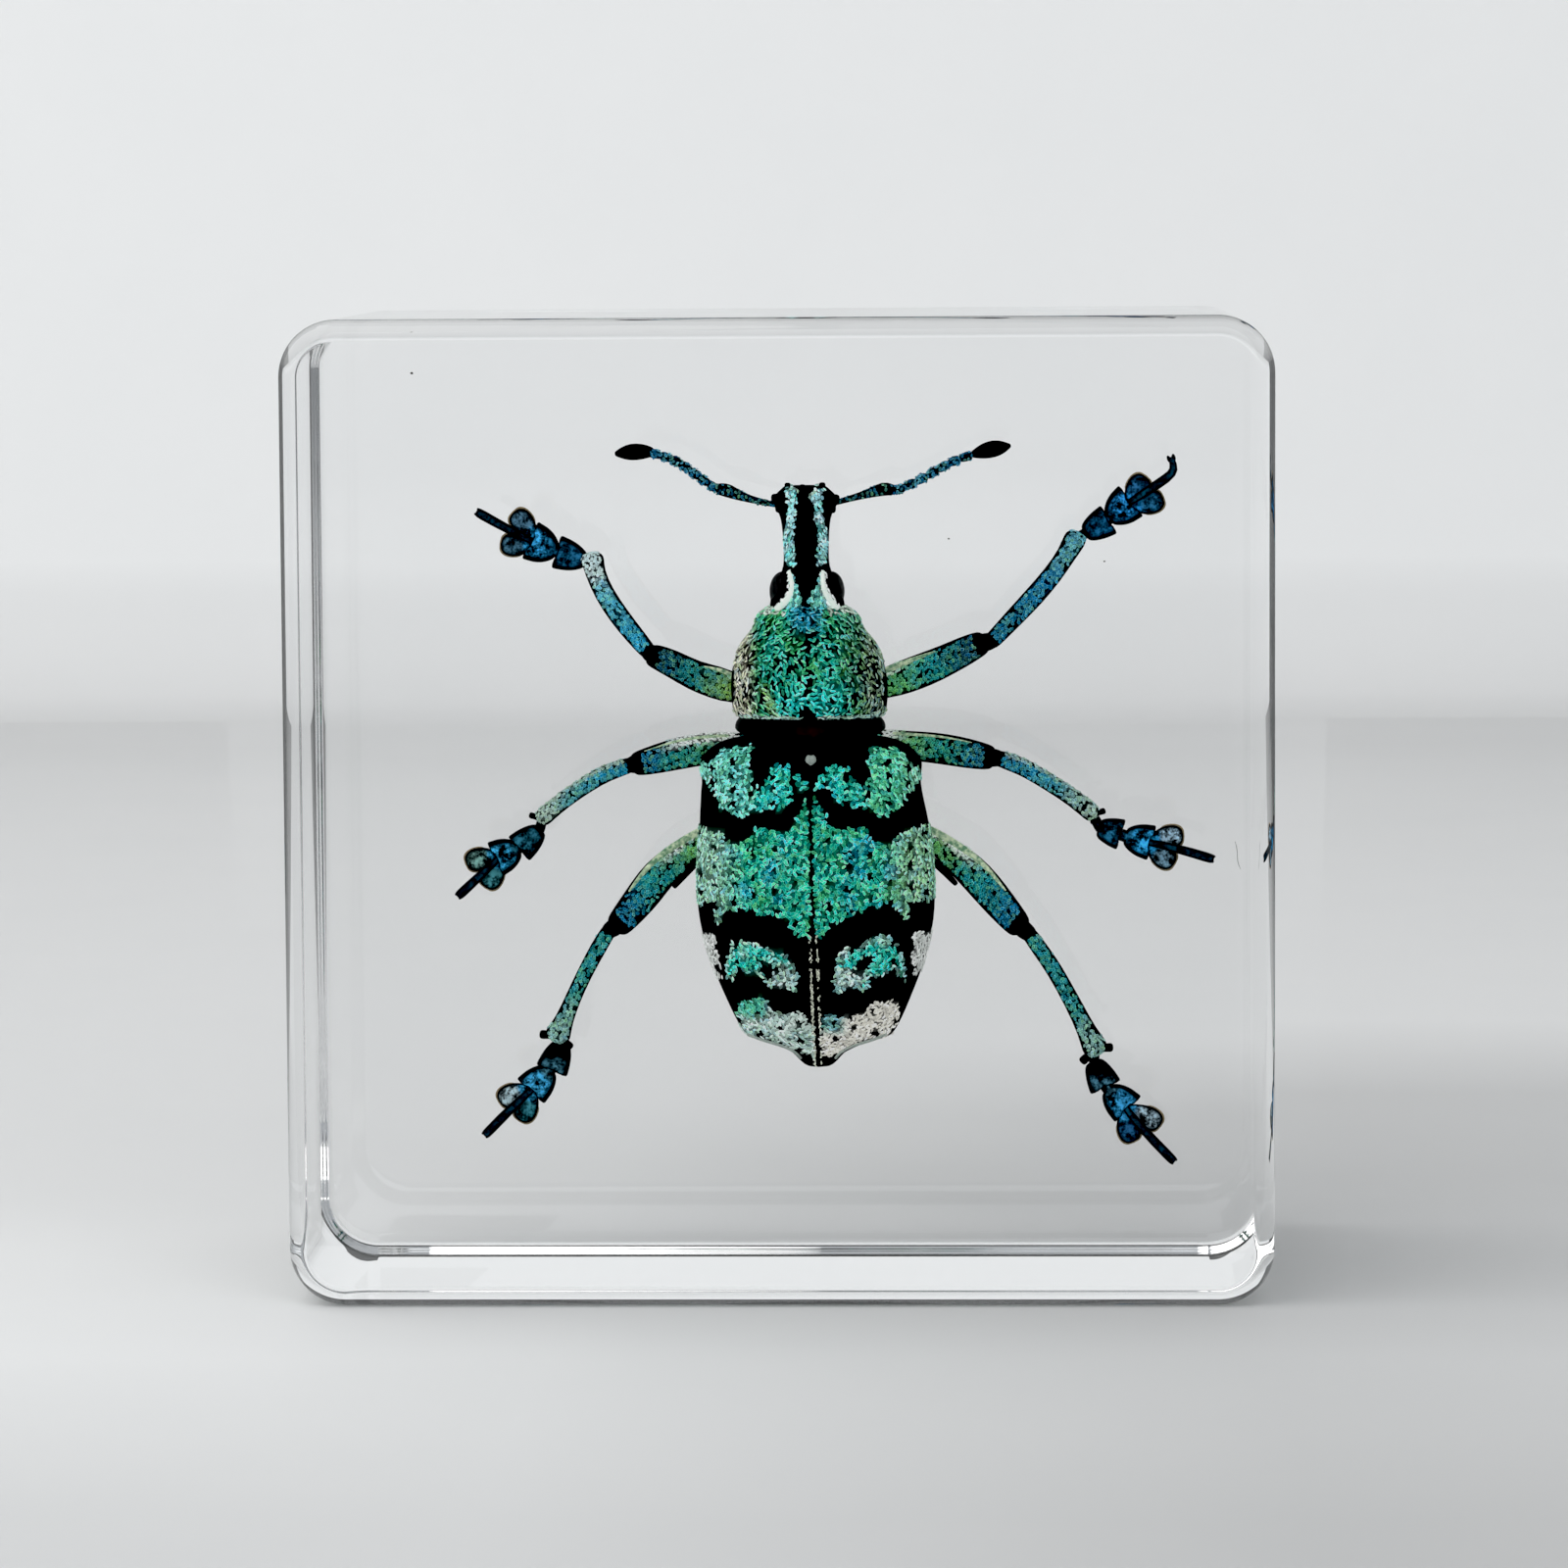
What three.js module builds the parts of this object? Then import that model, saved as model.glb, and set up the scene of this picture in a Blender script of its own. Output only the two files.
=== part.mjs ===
// A weevil cast in a clear resin block: the cast block itself, as one solid.
//
// The block is a square slab that stands on one narrow side. Its four upright and
// lying corners are rounded as the mould leaves them, and the rims round its two
// large faces are rolled over by sanding and polishing.
// Millimetres, +Z up. The origin is at the middle of the underside, and the large
// face that shows the back of the insect looks towards -Y.

import * as THREE from "three";

// ---------------------------------------------------------------- driving dimensions

const BLOCK_WIDTH = 45;
const BLOCK_HEIGHT = 45;
const BLOCK_DEPTH = 25;

// Radius of the four corners of the square, seen from the front.
const CORNER_RADIUS = 2.6;
// Radius of the polished rim between a large face and the narrow sides.
const RIM_RADIUS = 1;

// Facets along a quarter turn of a corner and of a rim.
const CORNER_FACETS = 12;
const RIM_FACETS = 6;

// ---------------------------------------------------------------- material

const clearResin = new THREE.MeshStandardMaterial({
  color: 0xf2f5f4,
  roughness: 0.03,
  metalness: 0,
  transparent: true,
  opacity: 0.25,
});

// ---------------------------------------------------------------- cast block

// The square outline with its rounded corners, with the underside on y = 0.
function roundedOutline(width, height, radius) {
  const right = width / 2;
  const left = -right;
  const quarter = Math.PI / 2;
  const outline = new THREE.Shape();
  outline.moveTo(left + radius, 0);
  outline.lineTo(right - radius, 0);
  outline.absarc(right - radius, radius, radius, -quarter, 0, false);
  outline.lineTo(right, height - radius);
  outline.absarc(right - radius, height - radius, radius, 0, quarter, false);
  outline.lineTo(left + radius, height);
  outline.absarc(left + radius, height - radius, radius, quarter, 2 * quarter, false);
  outline.lineTo(left, radius);
  outline.absarc(left + radius, radius, radius, 2 * quarter, 3 * quarter, false);
  return outline;
}

// The slab runs from the back face to the front face with both rims rolled over.
function castBlock() {
  const outline = roundedOutline(BLOCK_WIDTH, BLOCK_HEIGHT, CORNER_RADIUS);
  const geometry = new THREE.ExtrudeGeometry(outline, {
    depth: BLOCK_DEPTH - 2 * RIM_RADIUS,
    bevelEnabled: true,
    bevelThickness: RIM_RADIUS,
    bevelSize: RIM_RADIUS,
    bevelOffset: -RIM_RADIUS,
    bevelSegments: RIM_FACETS,
    curveSegments: CORNER_FACETS,
  });
  // Middle of the depth to the origin, then stood up with the outline upright.
  geometry.translate(0, 0, RIM_RADIUS - BLOCK_DEPTH / 2);
  geometry.rotateX(Math.PI / 2);
  const block = new THREE.Mesh(geometry, clearResin);
  block.name = "resin_block";
  return block;
}

const group = new THREE.Group();
group.add(castBlock());

export default group;
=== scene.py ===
"""A turquoise snout weevil cast in a clear resin block, with its studio setting.

Lengths are written in millimetres and turned into metres by MM. The block stands on its narrow
side with its origin at the middle of its foot, +Z up, its front face towards -Y. The weevil hangs
head up inside it with its back towards the front face. A "depth" is a distance behind that face.
"""

import math

import bmesh
import bpy
import numpy as np
from mathutils import Matrix, Vector, noise


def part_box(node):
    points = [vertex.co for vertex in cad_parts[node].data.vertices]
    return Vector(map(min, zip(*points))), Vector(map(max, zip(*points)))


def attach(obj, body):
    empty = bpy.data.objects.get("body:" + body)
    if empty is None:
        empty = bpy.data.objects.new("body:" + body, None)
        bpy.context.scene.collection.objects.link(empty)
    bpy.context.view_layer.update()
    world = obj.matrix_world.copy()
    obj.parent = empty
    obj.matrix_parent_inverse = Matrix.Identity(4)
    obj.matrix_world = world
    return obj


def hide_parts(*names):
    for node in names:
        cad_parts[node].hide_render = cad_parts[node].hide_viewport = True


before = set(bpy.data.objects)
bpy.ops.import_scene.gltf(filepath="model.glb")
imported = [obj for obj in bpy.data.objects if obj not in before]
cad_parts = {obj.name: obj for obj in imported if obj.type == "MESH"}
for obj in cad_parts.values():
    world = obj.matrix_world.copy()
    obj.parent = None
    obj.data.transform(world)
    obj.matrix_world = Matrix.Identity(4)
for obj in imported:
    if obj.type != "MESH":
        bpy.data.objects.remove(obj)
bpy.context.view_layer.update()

MM = 0.001

# ---------------------------------------------------------------- driving dimensions, millimetres

BLOCK_LOW, BLOCK_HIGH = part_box("resin_block")
FRONT_Y = BLOCK_LOW[1] / MM
CORNER_RADIUS = 2.6
FRONT_RIM = 1.0
BACK_RIM = 0.55
BACK_FOOT_RISE = 0.35  # how much deeper the back rim is along the foot
BACK_FOOT_STEPS = 7  # raised a little at a time, from this height down by this much each time
BACK_FOOT_TOP = 2.9
BACK_FOOT_STEP = 0.3
RESIN_INDEX = 1.5

MIDLINE_X = 1.31  # the weevil's midline at the height MIDLINE_Z
MIDLINE_Z = 24.4
MIDLINE_LEAN = 0.0185  # sideways lean of the midline, per millimetre of height

SEED = 7


def midline(z):
    """The weevil's midline x at the height z."""
    return MIDLINE_X + (MIDLINE_Z - z) * MIDLINE_LEAN


def place(x, z, depth):
    """A point of the weevil, in metres."""
    return Vector((x, FRONT_Y + depth, z)) * MM


# ---------------------------------------------------------------- modelling by hand, in steps


def deselect():
    """Nothing selected and nothing in edit mode, so that an operator meets only its own piece."""
    if bpy.context.object and bpy.context.object.mode != "OBJECT":
        bpy.ops.object.mode_set(mode="OBJECT")
    for other in list(bpy.context.selected_objects):
        other.select_set(False)


def edit(piece):
    """Edit mode on one piece, with nothing selected in it."""
    deselect()
    bpy.context.view_layer.objects.active = piece
    piece.select_set(True)
    bpy.ops.object.mode_set(mode="EDIT")
    bpy.ops.mesh.select_all(action="DESELECT")


def done():
    bpy.ops.object.mode_set(mode="OBJECT")


def pick(piece, kind, test):
    """Selects the vertices, edges or faces of a piece in edit mode that pass a test."""
    bpy.ops.mesh.select_mode(type={"verts": "VERT", "edges": "EDGE", "faces": "FACE"}[kind])
    bpy.ops.mesh.select_all(action="DESELECT")
    mesh = bmesh.from_edit_mesh(piece.data)
    found = 0
    for item in getattr(mesh, kind):
        chosen = bool(test(item))
        item.select_set(chosen)
        found += chosen
    mesh.select_flush_mode()
    bmesh.update_edit_mesh(piece.data)
    return found


def settle(piece):
    """Puts the piece's place, turn and size into its mesh and makes its faces point outwards."""
    deselect()
    bpy.context.view_layer.objects.active = piece
    piece.select_set(True)
    bpy.ops.object.transform_apply(location=True, rotation=True, scale=True)
    bpy.ops.object.mode_set(mode="EDIT")
    bpy.ops.mesh.select_all(action="SELECT")
    bpy.ops.mesh.remove_doubles(threshold=1e-7)
    bpy.ops.mesh.normals_make_consistent(inside=False)
    bpy.ops.mesh.select_all(action="DESELECT")
    done()


def smooth(piece, levels=1):
    """Subdivides and applies, then shades smooth."""
    deselect()
    bpy.context.view_layer.objects.active = piece
    piece.select_set(True)
    if levels:
        finer = piece.modifiers.new("finer", "SUBSURF")
        finer.levels = levels
        finer.render_levels = levels
        bpy.ops.object.modifier_apply(modifier=finer.name)
    bpy.ops.object.shade_smooth()


def join(name, pieces):
    """Joins pieces into one with the given name."""
    deselect()
    for piece in pieces:
        piece.select_set(True)
    bpy.context.view_layer.objects.active = pieces[0]
    if len(pieces) > 1:
        bpy.ops.object.join()
    pieces[0].name = name
    return pieces[0]


def copy_of(piece, name):
    """A copy of a piece with its own mesh."""
    twin = piece.copy()
    twin.data = piece.data.copy()
    twin.name = name
    bpy.context.scene.collection.objects.link(twin)
    return twin


def finish_piece(piece, finish, body="root"):
    """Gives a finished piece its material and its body."""
    piece.data.materials.clear()
    piece.data.materials.append(finish)
    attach(piece, body)
    return piece


def turn_in_plane(angle, centre):
    """Turns the selection about Y. In the background the operator turns the other way."""
    bpy.ops.transform.rotate(value=angle, orient_axis="Y", orient_type="GLOBAL", center_override=centre)


def trunk(name, stations, sides=48):
    """A body part of rings across the midline: (height, half width, depth of back, depth of belly)."""
    deselect()
    z, half, back, belly = stations[0]
    centre = place(midline(z), z, (back + belly) / 2)
    bpy.ops.mesh.primitive_circle_add(vertices=sides, radius=MM, fill_type="NGON", location=centre)
    piece = bpy.context.object
    piece.name = name
    settle(piece)
    edit(piece)
    bpy.ops.mesh.select_all(action="SELECT")
    deep = (belly - back) / 2
    bpy.ops.transform.resize(value=(half, deep, 1), center_override=centre)
    for z, new_half, back, belly in stations[1:]:
        new_deep = (belly - back) / 2
        new_centre = place(midline(z), z, (back + belly) / 2)
        bpy.ops.mesh.extrude_region_move(TRANSFORM_OT_translate={"value": new_centre - centre})
        bpy.ops.transform.resize(
            value=(new_half / half, new_deep / deep, 1), center_override=new_centre
        )
        half, deep, centre = new_half, new_deep, new_centre
    done()
    settle(piece)
    smooth(piece)
    return piece


def heading(a, b):
    """The turn about Y, from straight up, of the way between two ring centres."""
    return math.atan2(b[0] - a[0], b[1] - a[1])


def limb(name, path, sides=12, flat=1.0, round_ends=True):
    """A tube along a path of (x, height, depth, half width); flat is its depth over its width."""
    path = list(path)
    if round_ends:
        path = rounded_ends(path)
    turns = []
    for i in range(len(path)):
        before = path[max(i - 1, 0)]
        after = path[min(i + 1, len(path) - 1)]
        turns.append(heading(before, after))
    x, z, depth, half = path[0]
    centre = place(x, z, depth)
    deselect()
    bpy.ops.mesh.primitive_circle_add(vertices=sides, radius=MM, fill_type="NGON", location=centre)
    piece = bpy.context.object
    piece.name = name
    settle(piece)
    edit(piece)
    bpy.ops.mesh.select_all(action="SELECT")
    bpy.ops.transform.resize(value=(half, half * flat, 1), center_override=centre)
    turn_in_plane(-turns[0], centre)
    for i in range(1, len(path)):
        x, z, depth, new_half = path[i]
        new_centre = place(x, z, depth)
        bpy.ops.mesh.extrude_region_move(TRANSFORM_OT_translate={"value": new_centre - centre})
        bend = (turns[i] - turns[i - 1] + math.pi) % (2 * math.pi) - math.pi
        turn_in_plane(-bend, new_centre)
        grow = new_half / half
        bpy.ops.transform.resize(value=(grow, grow, grow), center_override=new_centre)
        half, centre = new_half, new_centre
    done()
    settle(piece)
    smooth(piece)
    return piece


def rounded_ends(path):
    """The same path with two smaller rings past each end, for a domed end."""
    def dome(end, inner):
        x, z, depth, half = end
        away = Vector((x - inner[0], z - inner[1], depth - inner[2])).normalized()
        rings = []
        for reach, share in ((0.38, 0.84), (0.62, 0.45)):
            at = Vector((x, z, depth)) + away * half * reach
            rings.append((at.x, at.y, at.z, half * share))
        return rings

    first = dome(path[0], path[1])
    last = dome(path[-1], path[-2])
    return first[::-1] + path + last


# ---------------------------------------------------------------- finishes


class Socket:
    """A shader socket that takes part in Python arithmetic, which adds Math nodes."""

    def __init__(self, finish, link):
        self.finish = finish
        self.link = link

    def math(self, operation, *others):
        values = dict(enumerate((self,) + others))
        return self.finish.add("ShaderNodeMath", {"operation": operation}, values)

    def __add__(self, other):
        return self.math("ADD", other)

    __radd__ = __add__

    def __mul__(self, other):
        return self.math("MULTIPLY", other)

    def __sub__(self, other):
        return self.math("SUBTRACT", other)

    def __rsub__(self, other):
        return self * -1 + other

    def __truediv__(self, other):
        return self.math("DIVIDE", other)

    def clamped(self):
        return self.math("MINIMUM", 1.0).math("MAXIMUM", 0.0)


class Finish:
    """A node material under construction."""

    def __init__(self, name, **constants):
        self.material = bpy.data.materials.new(name)
        self.material.use_nodes = True
        self.tree = self.material.node_tree
        self.shader = self.tree.nodes["Principled BSDF"]
        for socket, value in constants.items():
            self.shader.inputs[socket.replace("_", " ")].default_value = value

    def node(self, kind, settings=None, values=None):
        """Adds a node: its settings first, then the values or links of its sockets."""
        made = self.tree.nodes.new(kind)
        for key, value in (settings or {}).items():
            if key == "stops":
                self.set_stops(made.color_ramp, value)
            else:
                setattr(made, key, value)
        for key, value in (values or {}).items():
            if isinstance(value, Socket):
                self.tree.links.new(value.link, made.inputs[key])
            else:
                made.inputs[key].default_value = value
        return made

    def set_stops(self, ramp, stops):
        while len(ramp.elements) < len(stops):
            ramp.elements.new(0.5)
        for element, (position, colour) in zip(ramp.elements, stops):
            element.position = position
            element.color = colour

    def add(self, kind, settings=None, values=None, output=0):
        """Adds a node and gives its output socket."""
        return Socket(self, self.node(kind, settings, values).outputs[output])

    def place(self):
        """The point on the piece, in millimetres."""
        point = self.add("ShaderNodeTexCoord", output="Object")
        return self.add("ShaderNodeVectorMath", {"operation": "SCALE"}, {0: point, "Scale": 1 / MM})

    def noise(self, scale, detail=3.0):
        values = {"Vector": self.place(), "Scale": scale, "Detail": detail}
        return self.add("ShaderNodeTexNoise", None, values)

    def blend(self, share, first, second):
        """A colour between two, by a share."""
        settings = {"data_type": "RGBA"}
        return Socket(self, self.node("ShaderNodeMix", settings, {0: share, 6: first, 7: second}).outputs[2])

    def ramp(self, value, stops):
        return self.add("ShaderNodeValToRGB", {"stops": stops}, {0: value})

    def feed(self, **links):
        for socket, value in links.items():
            self.tree.links.new(value.link, self.shader.inputs[socket.replace("_", " ")])

    def bump(self, height, strength, distance):
        """Bump from a height, with the distance in millimetres."""
        values = {"Height": height, "Strength": strength, "Distance": distance * MM}
        self.feed(Normal=self.add("ShaderNodeBump", None, values))


# A painted glow on the scaled parts, given off in their own colour though they are no lamp; it stands for
# the light that the resin takes away.
WING_PAINTED_GLOW = 0.4
LEG_PAINTED_GLOW = 0.36
FOOT_PAINTED_GLOW = 0.3
BROW_PAINTED_GLOW = 0.42
RIDGE_PAINTED_GLOW = 0.22
UNDER_DYE = 0.18  # how much of the scales' colour the shell beneath them has


def opaque(red, green, blue):
    return (red, green, blue, 1.0)


def resin_finish():
    """Clear cast resin with a faint grey-green tint in its depth and a very light polish haze."""
    finish = Finish("clear_resin", Transmission_Weight=1.0, IOR=RESIN_INDEX, Base_Color=opaque(1, 1, 1))
    cloud = finish.noise(0.35, 2.0)
    finish.feed(Roughness=(cloud - 0.62).clamped() * 0.05)
    tint = finish.blend(finish.noise(0.12, 1.0), opaque(0.985, 0.99, 0.992), opaque(0.995, 0.998, 0.998))
    finish.feed(Base_Color=tint)
    return finish.material


def cuticle_finish():
    """Black insect shell, faintly dyed under its scales. The resin takes nearly all its gloss away."""
    finish = Finish("black_cuticle", IOR=1.04, Roughness=0.45)
    fine = finish.noise(6.0, 3.0)
    broad = finish.noise(0.8, 2.0)
    black = finish.blend(broad, opaque(0.0012, 0.0012, 0.0016), opaque(0.003, 0.0028, 0.0032))
    under = finish.add("ShaderNodeAttribute", {"attribute_name": "scale_colour"}, output="Color")
    dye = finish.add("ShaderNodeVectorMath", {"operation": "SCALE"}, {0: under, "Scale": UNDER_DYE})
    finish.feed(Base_Color=finish.add("ShaderNodeVectorMath", {"operation": "ADD"}, {0: black, 1: dye}))
    finish.feed(Roughness=0.4 + fine * 0.2)
    finish.bump(fine, 0.2, 0.006)
    return finish.material


def neck_finish():
    """Black shell with a dark reddish-brown patch on the midline."""
    finish = Finish("neck_cuticle", IOR=1.12, Roughness=0.4)
    point = finish.place()
    parts = finish.node("ShaderNodeSeparateXYZ", None, {0: point})
    across = Socket(finish, parts.outputs[0]) - midline(25.8)
    up = Socket(finish, parts.outputs[2]) - 25.85
    from_middle = (across * across / 1.3 + up * up / 0.22).clamped()
    shade = finish.noise(3.0, 3.0)
    patch = (1 - from_middle) * shade
    finish.feed(Base_Color=finish.blend(patch, opaque(0.002, 0.0016, 0.0016), opaque(0.045, 0.007, 0.004)))
    finish.bump(shade, 0.4, 0.04)
    return finish.material


def eye_finish():
    """Near-black faceted eye."""
    finish = Finish("eye_black", IOR=1.2, Roughness=0.25)
    facets = finish.add(
        "ShaderNodeTexVoronoi", {"feature": "DISTANCE_TO_EDGE"}, {"Vector": finish.place(), "Scale": 11.0}
    )
    finish.feed(Base_Color=finish.blend(facets, opaque(0.0008, 0.0008, 0.001), opaque(0.006, 0.006, 0.008)))
    finish.bump(facets, 0.4, 0.02)
    return finish.material


def scale_finish(name, glow):
    """Scales: each scale's own colour with the painted glints and highlights it carries, given off again as
    a painted glow, and a little uneven polish.
    """
    finish = Finish(name, IOR=1.12, Roughness=0.42, Emission_Strength=glow)
    colour = finish.add("ShaderNodeAttribute", {"attribute_name": "scale_colour"}, output="Color")
    grain = finish.noise(14.0, 2.0)
    darker = finish.add("ShaderNodeVectorMath", {"operation": "SCALE"}, {0: colour, "Scale": 0.75})
    toned = finish.blend(grain, darker, colour)
    finish.feed(Base_Color=toned, Emission_Color=toned)
    finish.feed(Roughness=0.3 + grain * 0.3)
    return finish.material


def tarsus_finish():
    """Foot joints: dyed on their flat faces, with painted highlights in a mottle and a painted glow, and
    black round their rims as painted shade where they turn sideways.
    """
    finish = Finish("foot_blue", IOR=1.15, Roughness=0.45, Emission_Strength=FOOT_PAINTED_GLOW)
    colour = finish.add("ShaderNodeAttribute", {"attribute_name": "scale_colour"}, output="Color")
    mottle = finish.noise(2.6, 2.0)
    fine = finish.noise(9.0, 3.0)
    facing = finish.node("ShaderNodeNewGeometry")
    parts = finish.node("ShaderNodeSeparateXYZ", None, {0: Socket(finish, facing.outputs["Normal"])})
    flat = Socket(finish, parts.outputs[1]).math("ABSOLUTE")
    # Black where the joint turns sideways from front and back: painted shade along its edges.
    rim = ((flat - 0.85) / 0.11).clamped()
    share = rim * (0.62 + (mottle - 0.5) * 5.0 + (fine - 0.5) * 3.4).clamped()
    # Painted highlights in a mottle, up to three times the joint's colour.
    painted_gleam = ((mottle - 0.5) * 5.0 + (fine - 0.5) * 3.5).clamped() * 0.8
    bright = finish.add("ShaderNodeVectorMath", {"operation": "SCALE"}, {0: colour, "Scale": 3.0})
    lit = finish.blend(painted_gleam * 0.85, colour, bright)
    toned = finish.blend(share, opaque(0.0015, 0.002, 0.003), lit)
    finish.feed(Base_Color=toned, Emission_Color=toned)
    finish.feed(Roughness=0.35 + fine * 0.3)
    finish.bump(fine, 0.4, 0.02)
    return finish.material


def down_finish():
    """Pale down, a little greenish."""
    finish = Finish("pale_down", IOR=1.2, Roughness=0.6)
    grain = finish.noise(9.0, 3.0)
    finish.feed(Base_Color=finish.blend(grain, opaque(0.3, 0.4, 0.36), opaque(0.8, 0.86, 0.8)))
    finish.bump(grain, 0.6, 0.03)
    return finish.material


def brow_finish():
    """White waxy scales pressed close together, with a painted glow."""
    finish = Finish("brow_white", IOR=1.15, Roughness=0.5, Emission_Strength=BROW_PAINTED_GLOW)
    grain = finish.noise(7.0, 3.0)
    white = finish.blend(grain, opaque(0.5, 0.66, 0.6), opaque(1.0, 1.0, 0.94))
    finish.feed(Base_Color=white, Emission_Color=white)
    finish.bump(grain, 0.5, 0.03)
    return finish.material


def highlight_ridge_finish():
    """Cream scales with a green cast, in patches, pressed close together: the painted highlight of the thigh
    ridges, with a painted glow.
    """
    finish = Finish("ridge_painted_highlight", IOR=1.15, Roughness=0.55, Emission_Strength=RIDGE_PAINTED_GLOW)
    grain = finish.noise(5.0, 3.0)
    patches = ((grain - 0.5) * 4.0 + 0.5).clamped()
    cream = finish.blend(patches, opaque(0.16, 0.34, 0.2), opaque(0.74, 0.86, 0.6))
    finish.feed(Base_Color=cream, Emission_Color=cream)
    finish.bump(grain, 0.5, 0.03)
    return finish.material


def fringe_finish():
    """The short tan hairs round the soles."""
    finish = Finish("sole_hair", IOR=1.1, Roughness=0.8)
    hair = finish.noise(16.0, 2.0)
    finish.feed(Base_Color=finish.blend(hair, opaque(0.12, 0.08, 0.035), opaque(0.62, 0.5, 0.3)))
    return finish.material


def speck_finish():
    """Dust caught in the casting."""
    finish = Finish("casting_dust", IOR=1.3, Roughness=0.8)
    finish.feed(
        Base_Color=finish.blend(finish.noise(20.0), opaque(0.01, 0.01, 0.012), opaque(0.12, 0.1, 0.08))
    )
    return finish.material


# ---------------------------------------------------------------- the resin block


def cast_block():
    """The block: a cube with round upright corners, a round front rim and a flatter back rim."""
    deselect()
    size = [high - low for low, high in zip(BLOCK_LOW, BLOCK_HIGH)]
    middle = [(low + high) / 2 for low, high in zip(BLOCK_LOW, BLOCK_HIGH)]
    bpy.ops.mesh.primitive_cube_add(size=1, location=middle)
    block = bpy.context.object
    block.name = "resin_block_cast"
    block.scale = size
    settle(block)
    edit(block)
    across_depth = lambda edge: abs(edge.verts[0].co.y - edge.verts[1].co.y) > MM
    pick(block, "edges", across_depth)
    bpy.ops.mesh.bevel(offset=CORNER_RADIUS * MM, segments=24, profile=0.5)
    pick(block, "faces", lambda face: face.normal.y < -0.9)
    bpy.ops.mesh.region_to_loop()
    bpy.ops.mesh.bevel(offset=FRONT_RIM * MM, segments=14, profile=0.5)
    pick(block, "faces", lambda face: face.normal.y > 0.999)
    bpy.ops.mesh.region_to_loop()
    bpy.ops.mesh.bevel(offset=BACK_RIM * MM, segments=10, profile=0.5)
    back_y = BLOCK_HIGH[1] - 1e-5
    for step in range(BACK_FOOT_STEPS):
        top = (BACK_FOOT_TOP - BACK_FOOT_STEP * step) * MM
        pick(block, "verts", lambda v: v.co.y > back_y and v.co.z < top)
        bpy.ops.transform.translate(value=(0, 0, BACK_FOOT_RISE / BACK_FOOT_STEPS * MM))
    done()
    settle(block)
    bpy.ops.object.shade_smooth()
    even = block.modifiers.new("even_light", "WEIGHTED_NORMAL")
    even.keep_sharp = False
    even.weight = 100
    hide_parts("resin_block")
    return finish_piece(block, resin_finish())


# ---------------------------------------------------------------- the weevil's body

WING_CASE_STATIONS = [
    (25.62, 2.3, 9.4, 12.6),
    (25.55, 3.2, 8.8, 13.0),
    (25.4, 4.05, 8.25, 13.2),
    (25.05, 4.68, 7.8, 13.3),
    (24.7, 5.0, 7.55, 13.3),
    (24.4, 5.18, 7.35, 13.3),
    (24.0, 5.12, 7.15, 13.3),
    (23.5, 5.04, 6.95, 13.3),
    (22.6, 5.2, 6.7, 13.3),
    (21.6, 5.42, 6.45, 13.4),
    (20.4, 5.55, 6.25, 13.5),
    (19.2, 5.62, 6.15, 13.5),
    (18.1, 5.62, 6.2, 13.5),
    (17.1, 5.55, 6.35, 13.4),
    (16.1, 5.33, 6.65, 13.3),
    (15.0, 5.03, 7.1, 13.1),
    (13.9, 4.58, 7.7, 12.9),
    (12.8, 4.12, 8.4, 12.7),
    (12.0, 3.72, 9.0, 12.6),
    (11.62, 3.46, 9.3, 12.5),
    (11.46, 3.1, 9.45, 12.4),
    (11.3, 2.45, 9.65, 12.3),
    (11.05, 1.75, 9.9, 12.2),
    (10.65, 1.0, 10.2, 12.0),
    (10.25, 0.45, 10.6, 11.8),
    (10.08, 0.2, 10.8, 11.6),
]

BELLY_STATIONS = [
    (25.8, 2.9, 9.6, 13.4),
    (25.2, 3.8, 9.2, 14.2),
    (24.2, 4.3, 9.0, 14.7),
    (23.0, 4.5, 9.0, 15.0),
    (21.8, 4.7, 9.0, 15.0),
    (21.6, 4.62, 9.0, 14.8),
    (21.4, 4.7, 9.0, 15.0),
    (19.4, 4.8, 9.0, 14.9),
    (19.2, 4.72, 9.0, 14.7),
    (19.0, 4.8, 9.0, 14.9),
    (17.3, 4.7, 9.0, 14.7),
    (17.1, 4.6, 9.0, 14.5),
    (16.9, 4.7, 9.0, 14.7),
    (15.3, 4.3, 9.2, 14.4),
    (15.1, 4.2, 9.2, 14.2),
    (14.9, 4.25, 9.2, 14.3),
    (13.3, 3.6, 9.8, 13.9),
    (13.1, 3.45, 9.9, 13.7),
    (12.9, 3.45, 9.9, 13.7),
    (11.6, 2.3, 10.4, 13.1),
    (10.8, 1.25, 10.7, 12.6),
    (10.3, 0.85, 11.0, 12.3),
    (10.02, 0.5, 11.2, 12.1),
]

PRONOTUM_STATIONS = [
    (31.75, 1.0, 9.5, 12.6),
    (31.62, 1.6, 9.0, 13.0),
    (31.4, 2.05, 8.65, 13.3),
    (31.15, 2.34, 8.4, 13.5),
    (30.85, 2.46, 8.15, 13.7),
    (30.5, 2.52, 7.9, 13.9),
    (30.15, 2.85, 7.65, 14.1),
    (29.75, 3.18, 7.4, 14.3),
    (29.2, 3.42, 7.15, 14.4),
    (28.6, 3.58, 6.98, 14.5),
    (27.9, 3.66, 6.9, 14.5),
    (27.2, 3.62, 7.05, 14.4),
    (26.75, 3.55, 7.35, 14.2),
    (26.5, 3.45, 7.8, 14.0),
    (26.4, 2.9, 8.6, 13.4),
]

NECK_STATIONS = [
    (26.7, 2.9, 8.2, 13.6),
    (26.4, 3.38, 8.0, 13.7),
    (26.05, 3.52, 8.0, 13.8),
    (25.8, 3.5, 8.0, 13.8),
    (25.62, 3.1, 8.1, 13.8),
    (25.3, 2.8, 8.4, 13.6),
]

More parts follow.
